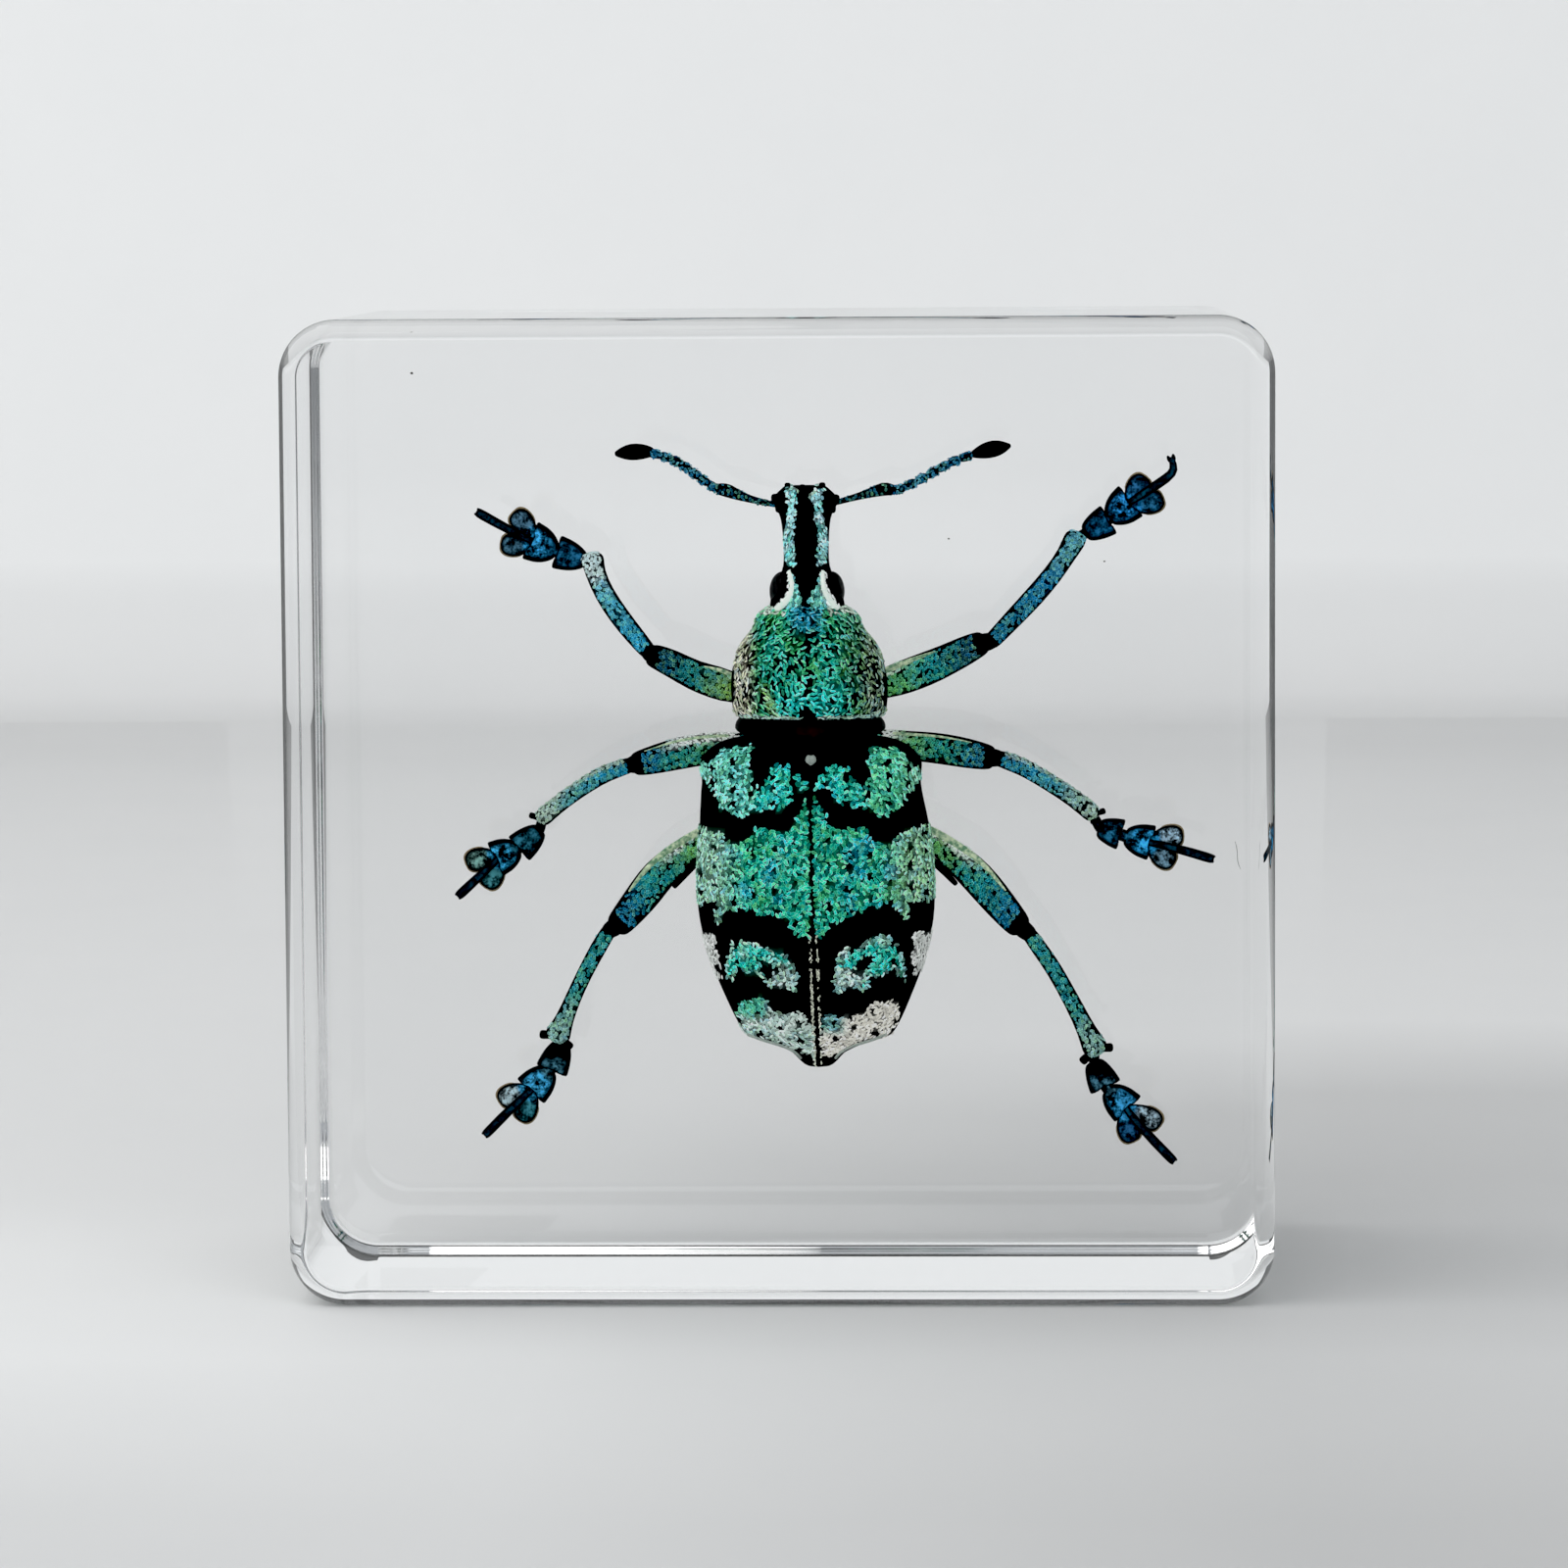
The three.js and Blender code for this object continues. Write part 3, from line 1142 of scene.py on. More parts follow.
def antenna_pieces(finish):
    """Each antenna: a thickening scape, seven beads and a club."""
    made = {}
    for side, parts in ANTENNAE.items():
        name = "antenna_" + side
        scape = finish_piece(limb(name + "_scape", parts["scape"], sides=10), finish)
        beads = []
        for number in range(BEADS):
            start = along_route(parts["thread"], number / BEADS)
            end = along_route(parts["thread"], (number + 1) / BEADS)
            rings = []
            for share, half in ((-0.1, 0.17), (0.28, 0.21), (0.7, 0.25), (1.04, 0.19)):
                at = start.lerp(end, share)
                rings.append((at.x, at.y, at.z, half))
            beads.append(limb("%s_bead%d" % (name, number), rings, sides=10, round_ends=False))
        thread = finish_piece(join(name + "_funicle", beads), finish)
        finish_piece(limb(name + "_club", parts["club"], sides=12), finish)
        made[side] = {"scape": scape, "funicle": thread}
    return made


# ---------------------------------------------------------------- scales

# Outlines of the scaled patches on the wing cases, as (distance from the midline, height).
SHOULDER_LEFT = [(-4.0, 25.05), (-2.7, 25.25), (-2.67, 24.6), (-2.7, 23.9), (-2.4, 23.4), (-2.5, 22.7),
                 (-2.74, 22.25), (-3.36, 21.9), (-4.12, 22.4), (-4.4, 22.8), (-4.8, 23.5), (-5.2, 24.0),
                 (-4.7, 24.5)]
INNER_LEFT = [(-1.57, 24.55), (-1.32, 24.24), (-0.97, 24.35), (-0.89, 23.7), (-0.86, 22.8), (-1.25, 22.45),
              (-1.95, 22.3), (-2.4, 22.15), (-2.75, 22.4), (-2.7, 23.1), (-2.38, 23.2), (-2.1, 23.45),
              (-1.76, 23.9), (-1.84, 24.2)]
SEAM_LEFT = [(-0.72, 24.05), (-0.2, 23.6), (-0.15, 23.15), (-0.47, 23.05), (-0.65, 23.4)]
SHOULDER_RIGHT = [(2.7, 25.0), (3.0, 25.2), (3.6, 24.95), (3.85, 25.15), (4.3, 24.86), (4.6, 24.4),
                  (5.0, 24.0), (5.1, 23.7), (4.55, 23.05), (4.36, 22.65), (4.06, 22.4), (3.54, 22.1),
                  (3.16, 22.0), (2.8, 22.2), (2.5, 22.7), (2.4, 23.2), (2.7, 23.85), (2.6, 24.4)]
INNER_RIGHT = [(0.72, 24.2), (1.02, 24.45), (1.44, 24.3), (1.87, 24.4), (1.95, 23.9), (2.33, 23.4),
               (2.6, 23.1), (2.65, 22.25), (2.1, 22.45), (1.5, 22.6), (1.0, 22.9), (0.87, 23.4),
               (0.25, 23.2), (0.2, 23.8)]
FIELD = [(-6.5, 21.3), (-5.0, 21.5), (-4.77, 21.25), (-4.14, 21.2), (-3.75, 20.65), (-3.48, 20.75),
         (-2.77, 21.05), (-2.67, 21.4), (-2.05, 21.55), (-1.36, 21.3), (-1.0, 21.45), (-0.65, 22.05),
         (-0.35, 22.35), (-0.22, 23.0), (0.2, 23.0), (0.4, 22.5), (0.72, 22.05), (0.93, 21.65), (1.3, 21.45),
         (2.1, 21.5), (2.68, 21.4), (2.75, 21.05), (3.1, 20.85), (3.6, 20.75), (4.12, 21.2), (4.64, 21.45),
         (5.15, 21.5), (6.5, 21.2), (6.5, 18.25), (5.3, 18.05), (4.82, 18.1), (4.45, 17.75), (4.35, 17.3),
         (4.1, 17.4), (3.7, 17.8), (3.28, 18.05), (2.76, 17.85), (2.34, 17.75), (1.73, 17.45), (1.2, 17.2),
         (0.86, 17.0), (0.6, 16.65), (0.0, 16.5), (-0.4, 16.5), (-0.87, 16.7), (-1.2, 17.3), (-1.46, 17.45),
         (-1.98, 17.4), (-2.33, 17.6), (-2.85, 17.75), (-3.47, 17.72), (-4.1, 17.6), (-4.3, 17.0),
         (-4.5, 16.85), (-4.63, 17.95), (-4.9, 18.1), (-5.1, 17.75), (-6.5, 18.2)]
EYESPOT_LEFT = [(-3.78, 16.25), (-3.16, 16.25), (-2.72, 16.2), (-2.02, 15.9), (-1.6, 15.8), (-1.25, 15.55),
                (-1.0, 15.2), (-0.75, 14.6), (-0.8, 14.2), (-1.1, 13.9), (-1.45, 14.15), (-1.7, 13.98),
                (-2.05, 14.05), (-2.4, 14.4), (-2.66, 14.8), (-3.06, 14.65), (-3.5, 14.9), (-3.65, 14.45),
                (-4.15, 14.35), (-4.12, 15.15), (-3.9, 15.7)]
HOLE_LEFT = [(-2.5, 15.28), (-2.12, 15.2), (-1.92, 14.77), (-2.03, 14.58), (-2.35, 14.9)]
EYESPOT_RIGHT = [(1.44, 16.15), (1.95, 15.97), (2.64, 16.37), (3.16, 16.52), (3.55, 16.57), (3.8, 16.1),
                 (3.95, 15.67), (4.12, 15.3), (4.2, 14.7), (4.1, 14.25), (3.88, 14.55), (3.68, 14.9),
                 (3.16, 14.6), (2.64, 14.55), (2.5, 14.1), (2.15, 13.9), (1.78, 14.0), (1.6, 14.3),
                 (1.35, 14.0), (1.1, 13.77), (0.85, 14.0), (0.78, 14.6), (0.98, 15.3), (1.18, 15.8)]
HOLE_RIGHT = [(1.86, 14.92), (1.93, 15.12), (2.28, 15.46), (2.52, 15.43), (2.46, 15.08), (2.27, 14.8),
              (1.96, 14.68)]
FLANK_LEFT = [(-6.5, 16.5), (-4.67, 16.5), (-4.55, 16.05), (-4.44, 15.1), (-4.32, 14.45), (-4.6, 14.3),
              (-6.5, 15.0)]
FLANK_RIGHT = [(4.53, 16.55), (4.91, 16.65), (6.5, 16.45), (6.5, 15.2), (5.0, 14.8), (4.52, 14.5),
               (4.4, 14.9), (4.42, 15.7)]
APEX_LEFT = [(-3.42, 13.5), (-2.98, 13.35), (-2.53, 13.6), (-2.18, 13.4), (-2.12, 12.95), (-1.6, 12.78),
             (-0.81, 13.0), (-0.5, 12.6), (-0.25, 12.4), (-0.12, 11.85), (-0.1, 10.6), (-0.63, 10.85),
             (-1.23, 11.1), (-1.66, 11.3), (-2.44, 11.5), (-3.3, 11.65), (-3.65, 12.1), (-3.75, 12.65),
             (-3.65, 13.1)]
APEX_RIGHT = [(0.35, 12.8), (0.75, 12.9), (1.07, 12.45), (1.51, 12.7), (1.86, 12.77), (2.2, 12.85),
              (2.65, 13.27), (3.08, 13.25), (3.43, 13.6), (3.7, 13.2), (3.85, 12.8), (3.65, 12.1),
              (3.3, 11.6), (2.59, 11.5), (1.81, 11.3), (1.28, 10.98), (0.66, 10.65), (0.18, 10.7),
              (0.12, 11.3), (0.19, 11.87), (0.28, 12.35)]

HOLE_WIDER = 0.1  # how far the dark hole of an eyespot reaches past its outline
PIT_ROWS = (0.8, 1.72, 2.66, 3.6, 4.5, 5.2)
PIT_CLEAR = 0.15  # no scale has its middle nearer than this to a pit
SEAM_HALF = 0.11
SHIELD_TURN = 0.95
EDGE_TURN = 0.995  # scales stop where the shell has turned this far sideways


def inside(outline, x, z):
    """Whether a point lies in a closed outline."""
    found = False
    x0, z0 = outline[-1]
    for x1, z1 in outline:
        if (z0 > z) != (z1 > z) and x < (x1 - x0) * (z - z0) / (z1 - z0) + x0:
            found = not found
        x0, z0 = x1, z1
    return found


def edge_distance(outline, x, z):
    """Distance from a point to the nearest side of an outline."""
    nearest = 99.0
    x0, z0 = outline[-1]
    for x1, z1 in outline:
        run, rise = x1 - x0, z1 - z0
        share = ((x - x0) * run + (z - z0) * rise) / max(run * run + rise * rise, 1e-9)
        share = min(max(share, 0.0), 1.0)
        nearest = min(nearest, math.hypot(x - x0 - run * share, z - z0 - rise * share))
        x0, z0 = x1, z1
    return nearest


def tone(red, green, blue):
    """A colour from 0 to 255 as seen, made linear."""
    return np.array([(c / 255) ** 2.2 for c in (red, green, blue)])


def ease(low, high, value):
    """From 0 at low to 1 at high, with a soft start and end."""
    share = min(max((value - low) / (high - low), 0.0), 1.0)
    return share * share * (3 - 2 * share)


TURQUOISE = tone(30, 196, 162)
GREEN = tone(56, 196, 116)
CYAN = tone(26, 172, 204)
MINT = tone(150, 226, 200)
SAGE = tone(172, 204, 178)
STRAW = tone(190, 196, 146)
CHALK = tone(226, 230, 228)
CREAM = tone(236, 234, 224)
WHITE = tone(246, 252, 250)
GREY = tone(160, 168, 156)
BEIGE = tone(176, 172, 152)
SKY = tone(150, 208, 226)
BLUE = tone(22, 122, 188)
TEAL = tone(36, 156, 156)
MOSS = tone(104, 172, 104)
LIME = tone(150, 226, 90)
AZURE = tone(20, 150, 226)


def mix(first, second, share):
    return first + (second - first) * share


def paleness(colour):
    """From 0 for a strong colour to 1 for a nearly white or grey one."""
    return ease(0.68, 0.85, min(colour) / max(colour))


def wave(point, scale, shift=0.0):
    """Smooth noise from -1 to 1 at a place in millimetres."""
    return noise.noise(Vector((point[0] * scale + shift, point[1] * scale, point[2] * scale + shift)))


def wing_colour(point, normal):
    """The colour of a wing-case scale, or None where the shell is bare."""
    x, y, z = point
    jag = 0.16
    across = x - midline(z) + jag * wave(point, 3.1, 5.0)
    z += jag * wave(point, 3.1, 11.0)
    plain = x - midline(point[2])
    if abs(plain) < SEAM_HALF:
        return None
    step = 0.62 if z > 21.5 else 0.95
    for number, row in enumerate(PIT_ROWS):
        off_row = abs(abs(plain) - row)
        if off_row < PIT_CLEAR:
            offset = (z + number * 0.31 + 0.2 * wave((row, 0, round(z / step)), 1.7)) / step
            off_pit = abs(offset - round(offset)) * step
            if math.hypot(off_row, off_pit) < PIT_CLEAR:
                return None
    if abs(normal[0]) > EDGE_TURN:
        return None
    side = abs(plain)
    spots = ease(0.05, 0.35, wave(point, 1.1, 3.0))
    if inside(FIELD, across, z):
        base = mix(TURQUOISE, GREEN, ease(-0.1, 0.4, wave(point, 0.9, 21.0)) * 0.55)
        base = mix(base, CYAN, spots * 0.75 * ease(0.5, 2.0, side))
        pale = SAGE if plain < 0 else STRAW
        return mix(base, mix(pale, MINT, 0.35), ease(2.9, 4.7, side) * (0.85 if plain < 0 else 0.62))
    if inside(SHOULDER_LEFT, across, z):
        return mix(mix(TURQUOISE, CYAN, spots * 0.5), MINT, 0.35 + 0.25 * ease(3.4, 4.6, side)) * 1.3
    if inside(SHOULDER_RIGHT, across, z):
        return mix(mix(TURQUOISE, GREEN, 0.4), SAGE, 0.12 + 0.35 * ease(3.8, 4.9, side)) * 1.2
    for outline in (INNER_LEFT, INNER_RIGHT, SEAM_LEFT):
        if inside(outline, across, z):
            return mix(TURQUOISE, CYAN, 0.15 + spots * 0.35) * 1.3
    for outline, hole in ((EYESPOT_LEFT, HOLE_LEFT), (EYESPOT_RIGHT, HOLE_RIGHT)):
        if inside(outline, across, z):
            if inside(hole, across, z) or edge_distance(hole, across, z) < HOLE_WIDER:
                return None
            rim = 1 - ease(0.08, 0.2, min(edge_distance(outline, across, z), edge_distance(hole, across, z)))
            pale_part = ease(0.0, 0.5, wave(point, 0.9, 31.0) + (0.35 if side < 2.2 and z < 15 else -0.15))
            return mix(mix(TURQUOISE, CYAN, 0.2) * 1.25, CHALK, max(rim * 0.5, pale_part * 0.68))
    for outline in (FLANK_LEFT, FLANK_RIGHT):
        if inside(outline, across, z):
            return mix(CHALK, GREY, 0.15 + 0.25 * wave(point, 2.0))
    if inside(APEX_LEFT, across, z):
        share = ease(2.0, 2.6, side) * ease(12.2, 12.9, z)
        return mix(mix(CHALK, MINT, 0.35 + 0.3 * wave(point, 1.4)), TURQUOISE, share * 0.85)
    if inside(APEX_RIGHT, across, z):
        share = (1 - ease(0.8, 1.6, side)) * ease(11.6, 12.2, z)
        return mix(CREAM, TEAL, share * 0.8)
    return None


def near_seam(x, y, z):
    """The narrow region of the wing cases that the seam's dashes are drawn in."""
    return abs(x - midline(z)) < 0.4 and 10.2 < z < 17.0


def seam_colour(point, normal):
    """Tiny pale dashes on both sides of the seam, in the hind third."""
    x, y, z = point
    across = x - midline(z)
    if not 0.1 < abs(across) < 0.21 or z > 16.9 or normal[1] > 0.2:
        return None
    if wave((round(across), 0, z), 3.2, 4.0) < (-0.5 if across < 0 and z < 14.3 else -0.02):
        return None
    return mix(STRAW, CHALK, 0.6)


def pronotum_colour(point, normal):
    """Worm-shaped ridges: cyan low in the middle, blue at the front, beige down the sides, darker on the
    right side as painted shade.
    """
    x, y, z = point
    across = x - midline(z)
    side = abs(across)
    if normal[1] > 0.35 or z < 26.5 or z > 31.65 or abs(normal[0]) > SHIELD_TURN:
        return None
    if z < 26.68 and 0.35 < side < 3.2:
        return mix(CHALK, MINT, 0.6)
    if z > 31.2 and 1.0 < side and wave(point, 3.0) > -0.2:
        return mix(CHALK, SAGE, 0.6)
    notch = z < 27.15 and side < (27.2 - z) * 0.75
    midrib = side < 0.1 and 27.8 < z < 30.4 and wave(point, 1.8) > -0.3
    worm = abs(wave(point, 2.7, 40.0))
    # darker is painted shade that grows towards the right side, away from the light; it also leaves more
    # bare gaps there.
    darker = ease(1.2, 2.0, across)
    if notch or midrib or worm < 0.045 + 0.012 * darker:
        return None
    if wave(point, 4.4, 9.0) < -0.46 + 0.06 * darker:
        return None
    if side > 2.0 and wave(point, 5.2, 33.0) < -0.34:
        return None
    base = mix(TURQUOISE, GREEN, ease(-0.3, 0.4, wave(point, 0.8, 17.0)))
    base = mix(base, MOSS, darker * 0.5) * (0.88 - 0.26 * darker)
    low = ease(28.8, 27.3, z) * (1 - ease(1.3, 2.3, side))
    base = mix(base, mix(TURQUOISE, CYAN, 0.25) * 1.55, low)
    top = ease(29.9, 30.9, z) * (1 - ease(0.4, 1.1, side))
    base = mix(base, mix(BLUE, CYAN, 0.35), top * 0.85)
    edge = ease(2.1, 2.9, side) * (1 - 0.35 * darker)
    base = mix(base, BEIGE * (1.3 - 0.45 * darker), edge)
    streak = ease(0.35, 0.1, abs(across + 1.9 + (z - 27.6) * 0.35)) * ease(28.4, 27.6, z)
    return mix(base, tone(176, 206, 96), streak * 0.7)


SNOUT_STRIPES = (
    [(-0.88, 37.0), (-0.8, 36.26), (-0.85, 35.42), (-1.02, 34.81), (-1.0, 34.21), (-0.92, 33.61),
     (-0.86, 33.42), (-0.46, 33.42), (-0.45, 33.61), (-0.51, 34.21), (-0.55, 34.81), (-0.45, 35.42),
     (-0.38, 36.26), (-0.37, 37.0)],
    [(0.6, 36.98), (0.25, 36.62), (0.4, 36.26), (0.41, 35.71), (0.58, 35.05), (0.55, 34.33), (0.45, 33.84),
     (0.53, 33.42), (0.8, 33.42), (0.95, 33.84), (1.0, 34.32), (0.98, 35.05), (0.82, 35.71), (0.8, 36.25),
     (0.84, 36.62), (0.9, 36.98)],
)
TIP_LINES = (
    [(-0.8, 37.2), (-0.66, 37.2), (-0.28, 36.86), (-0.36, 36.76)],
    [(0.58, 37.2), (0.72, 37.2), (0.26, 36.52), (0.14, 36.56)],
)
BROW_STRIPES = (
    [(-0.91, 33.25), (-0.67, 33.25), (-0.47, 32.72), (-0.33, 32.23), (-0.16, 31.81), (-0.2, 31.45),
     (-0.9, 31.3), (-1.75, 31.2), (-1.19, 31.82), (-0.87, 32.24), (-0.82, 32.72)],
    [(0.66, 33.25), (0.92, 33.25), (0.91, 32.71), (1.08, 32.23), (1.35, 31.81), (1.7, 31.3), (1.04, 31.3),
     (0.2, 31.45), (0.08, 31.81), (0.27, 32.23), (0.49, 32.72)],
)


def head_colour(point, normal):
    """Two pale lines on the snout's tip, two cyan stripes down it and white-edged stripes below."""
    x, y, z = point
    if normal[1] > 0.3:
        return None
    across = x - midline(z) + 0.05 * wave(point, 4.0, 2.0)
    for outline in TIP_LINES:
        if inside(outline, across, z):
            return mix(CHALK, MINT, 0.5)
    for outline in SNOUT_STRIPES:
        if inside(outline, across, z):
            return mix(mix(CYAN, TURQUOISE, 0.6), mix(SKY, WHITE, 0.3), 0.55 + 0.6 * wave(point, 2.4)) * 1.3
    for outline in BROW_STRIPES:
        if inside(outline, across, z):
            outer = ease(0.5, 0.85, abs(across) - max(0.0, 32.3 - z) * 0.45)
            return mix(mix(CYAN, TURQUOISE, 0.6), WHITE, 0.15 + 0.85 * outer)
    return None


LEG_STIPPLE = 5.5  # bare black dots per millimetre or so
LEG_CRACKS = 2.2  # bare black wandering lines per millimetre or so
# How far round the scales reach where the upper edge carries its painted highlight.
HIGHLIGHT_OUTLINE = 0.93
OUTLINE = 0.72  # how far round a leg its scales reach, as the sideways part of the normal; past it the leg is bare black, painted shade along its edges


def leg_colour(tones, start, end, highlight_side, bare, highlight_reach, highlight_tone):
    """A colour rule for a leg: through its tones along it, a painted highlight on its upper edge, and bare
    black at its sides as painted shade.
    """
    span = Vector((end[0] - start[0], 0, end[1] - start[1]))
    length = span.length
    span.normalize()
    sideways = Vector((-span.z, 0, span.x))
    near, middle, far = tones

    def rule(point, normal):
        share = (Vector((point[0] - start[0], 0, point[2] - start[1])).dot(span)) / length
        if not bare[0] < share < bare[1]:
            return None
        # The upper side gets a painted highlight, up to a share of the way along.
        upper = Vector(normal).dot(highlight_side)
        pale = ease(0.42, 0.72, upper) * (1 - ease(highlight_reach - 0.15, highlight_reach + 0.1, share))
        if wave(point, LEG_STIPPLE, 50.0) < -0.42 or abs(wave(point, LEG_CRACKS, 30.0)) < 0.035 * (1 - pale):
            return None
        if abs(Vector(normal).dot(sideways)) > (OUTLINE if pale < 0.4 else HIGHLIGHT_OUTLINE):
            return None
        drift = share + 0.14 * wave(point, 1.5)
        base = mix(near, middle, ease(0.25, 0.6, drift))
        base = mix(base, far, ease(0.6, 0.92, drift))
        return mix(base, highlight_tone, pale * 0.92)

    return rule


def belly_colour(point, normal):
    """Scattered patches of scales on both sides of the belly."""
    if wave(point, 0.9, 60.0) < 0.05 or abs(point[0] - midline(point[2])) < 0.9:
        return None
    return mix(TURQUOISE, CYAN, ease(-0.2, 0.4, wave(point, 1.3)))


FOOT_TONES = {
    "front_left": (tone(40, 96, 132), tone(48, 124, 170), tone(60, 88, 106), tone(52, 80, 96)),
    "front_right": (tone(36, 92, 132), tone(42, 112, 166), tone(36, 76, 110), tone(38, 84, 116)),
    "middle_left": (tone(48, 104, 124), tone(52, 130, 168), tone(92, 128, 122), tone(52, 98, 104)),
    "middle_right": (tone(42, 98, 130), tone(48, 128, 176), tone(122, 148, 164), tone(88, 116, 132)),
    "hind_left": (tone(70, 116, 134), tone(54, 126, 164), tone(122, 140, 146), tone(44, 90, 100)),
    "hind_right": (tone(72, 116, 136), tone(52, 124, 168), tone(116, 136, 146), tone(36, 72, 104)),
}
FIRST_JOINT_SHADE = 0.6  # the first joint of a foot is darker than the others
HIND_FEET = ("hind_left", "hind_right")
STEM_FROM = 0.3  # above this, over the joint's fan, the first joint of a hind foot is a black stem


def foot_colour(name):
    """A colour rule for one foot: its two joints, its two soles, and black between them."""
    leg = LEGS[name]
    first, second = leg["first"][1], leg["second"][1]
    centres = [first[:2], second[:2], leg["lobes"][0][:2], leg["lobes"][1][:2]]
    reaches = (0.95, 1.0, 0.85, 0.85)

    def rule(point, normal):
        if normal[1] > 0.35:
            return None
        gaps = [math.hypot(point[0] - x, point[2] - z) / reach for (x, z), reach in zip(centres, reaches)]
        nearest = gaps.index(min(gaps))
        if gaps[nearest] > 1.0:
            return None
        if nearest == 0 and name in HIND_FEET and point[2] > centres[0][1] + STEM_FROM:
            return None
        shade = FIRST_JOINT_SHADE if nearest == 0 else 1.0
        return FOOT_TONES[name][nearest] * shade * (1.0 + 0.45 * wave(point, 2.2, 13.0))

    return rule


def claw_colour(point, normal):
    return tone(16, 60, 78) * max(0.1, 0.4 + 0.9 * wave(point, 2.6, 90.0))


def feeler_colour(point, normal):
    # Bare black where the surface turns up or down: painted shade along its edges.
    if wave(point, 5.2, 80.0) < -0.22 or abs(normal[2]) > 0.86:
        return None
    return mix(tone(22, 98, 148), tone(84, 164, 198), ease(0.1, 0.5, wave(point, 3.6)))


def scape_colour(point, normal):
    # Bare black where the surface turns up or down: painted shade along its edges.
    if wave(point, 3.4, 85.0) < -0.2 or abs(normal[2]) > 0.8:
        return None
    return tone(18, 78, 106)


ORDER_WAY = Vector((0.531, 0.297, 0.794))  # a slanting direction along which corners are ordered
MOST_CORNERS = 8  # faces with more corners are the flat cuts, which carry no scales


def ordered_triangles(mesh):
    """The corners of a mesh's triangles in millimetres, ordered by place.

    Blender may number vertices and faces differently each time. The order keeps most of the drawn
    points where they were on the run before, but not all of them.
    """
    found = []
    for face in mesh.polygons:
        if len(face.vertices) > MOST_CORNERS:
            continue
        ring = [mesh.vertices[index].co / MM for index in face.vertices]
        start = min(range(len(ring)), key=lambda number: ring[number].dot(ORDER_WAY))
        ring = ring[start:] + ring[:start]
        for number in range(1, len(ring) - 1):
            corners = (ring[0], ring[number], ring[number + 1])
            found.append((sum(corner.dot(ORDER_WAY) for corner in corners), [tuple(c) for c in corners]))
    found.sort()
    return np.array([corners for at, corners in found]).transpose(1, 0, 2)


DRAWS = 5  # how many points are drawn for each square of the spacing


def surface_points(piece, spacing, rng, region=None):
    """Points spread over a piece, or a region of it, at least the spacing apart, with their normals.

    Also gives which of the drawn points they are, and how many were drawn.
    """
    a, b, c = ordered_triangles(piece.data)
    count = len(a)
    cross = np.cross(b - a, c - a)
    doubled = np.linalg.norm(cross, axis=1)
    if region:
        middles = (a + b + c) / 3
        doubled = np.where([region(*middle) for middle in middles], doubled, 0.0)
    area = doubled.sum() / 2
    wanted = max(100, int(round(area / spacing**2 * DRAWS, -2)))
    chosen = rng.choice(count, size=wanted, p=doubled / doubled.sum())
    u, v = rng.random(wanted), rng.random(wanted)
    flip = u + v > 1
    u[flip], v[flip] = 1 - u[flip], 1 - v[flip]
    points = a[chosen] + (b[chosen] - a[chosen]) * u[:, None] + (c[chosen] - a[chosen]) * v[:, None]
    normals = cross[chosen] / np.linalg.norm(cross[chosen], axis=1)[:, None]
    cells, kept = {}, []
    for index, point in enumerate(points):
        key = tuple((point // spacing).astype(int))
        crowded = any(
            np.sum((points[other] - point) ** 2) < spacing**2
            for dx in (-1, 0, 1)
            for dy in (-1, 0, 1)
            for dz in (-1, 0, 1)
            for other in cells.get((key[0] + dx, key[1] + dy, key[2] + dz), ())
        )
        if not crowded:
            cells.setdefault(key, []).append(index)
            kept.append(index)
    return points[kept], normals[kept], kept, wanted


SCALE_SIDES = 6
CORE_SHARE = 0.62  # how much of a scale's width its saturated core takes
CORE_DEPTH = 0.7  # the core's brightness against the scale's colour, darker than the rim with its painted highlight
RIM_HIGHLIGHT = 1.5  # the rim's brightness against the scale's colour: a painted highlight round each scale
# Painted glints: how brightly scales seem to catch the light, as (share of scales up to here, brightness,
# tint towards mint).
PAINTED_GLINTS = ((0.24, 0.36, 0.0), (0.72, 1.0, 0.25), (1.01, 1.95, 0.5))
# Calmer painted glints, for legs and antennae.
CALM = ((0.15, 0.65, 0.05), (0.85, 1.0, 0.2), (1.01, 1.35, 0.4))
PALE_CALM = 0.65  # how much less the painted glints vary on pale scales
PALE_CORE = 0.9  # the brightness of a pale scale's core and of its rim, whose painted highlight is weaker
PALE_RIM = 1.15
HUE_DRIFT = 0.3  # how far a scale may drift towards lime or azure


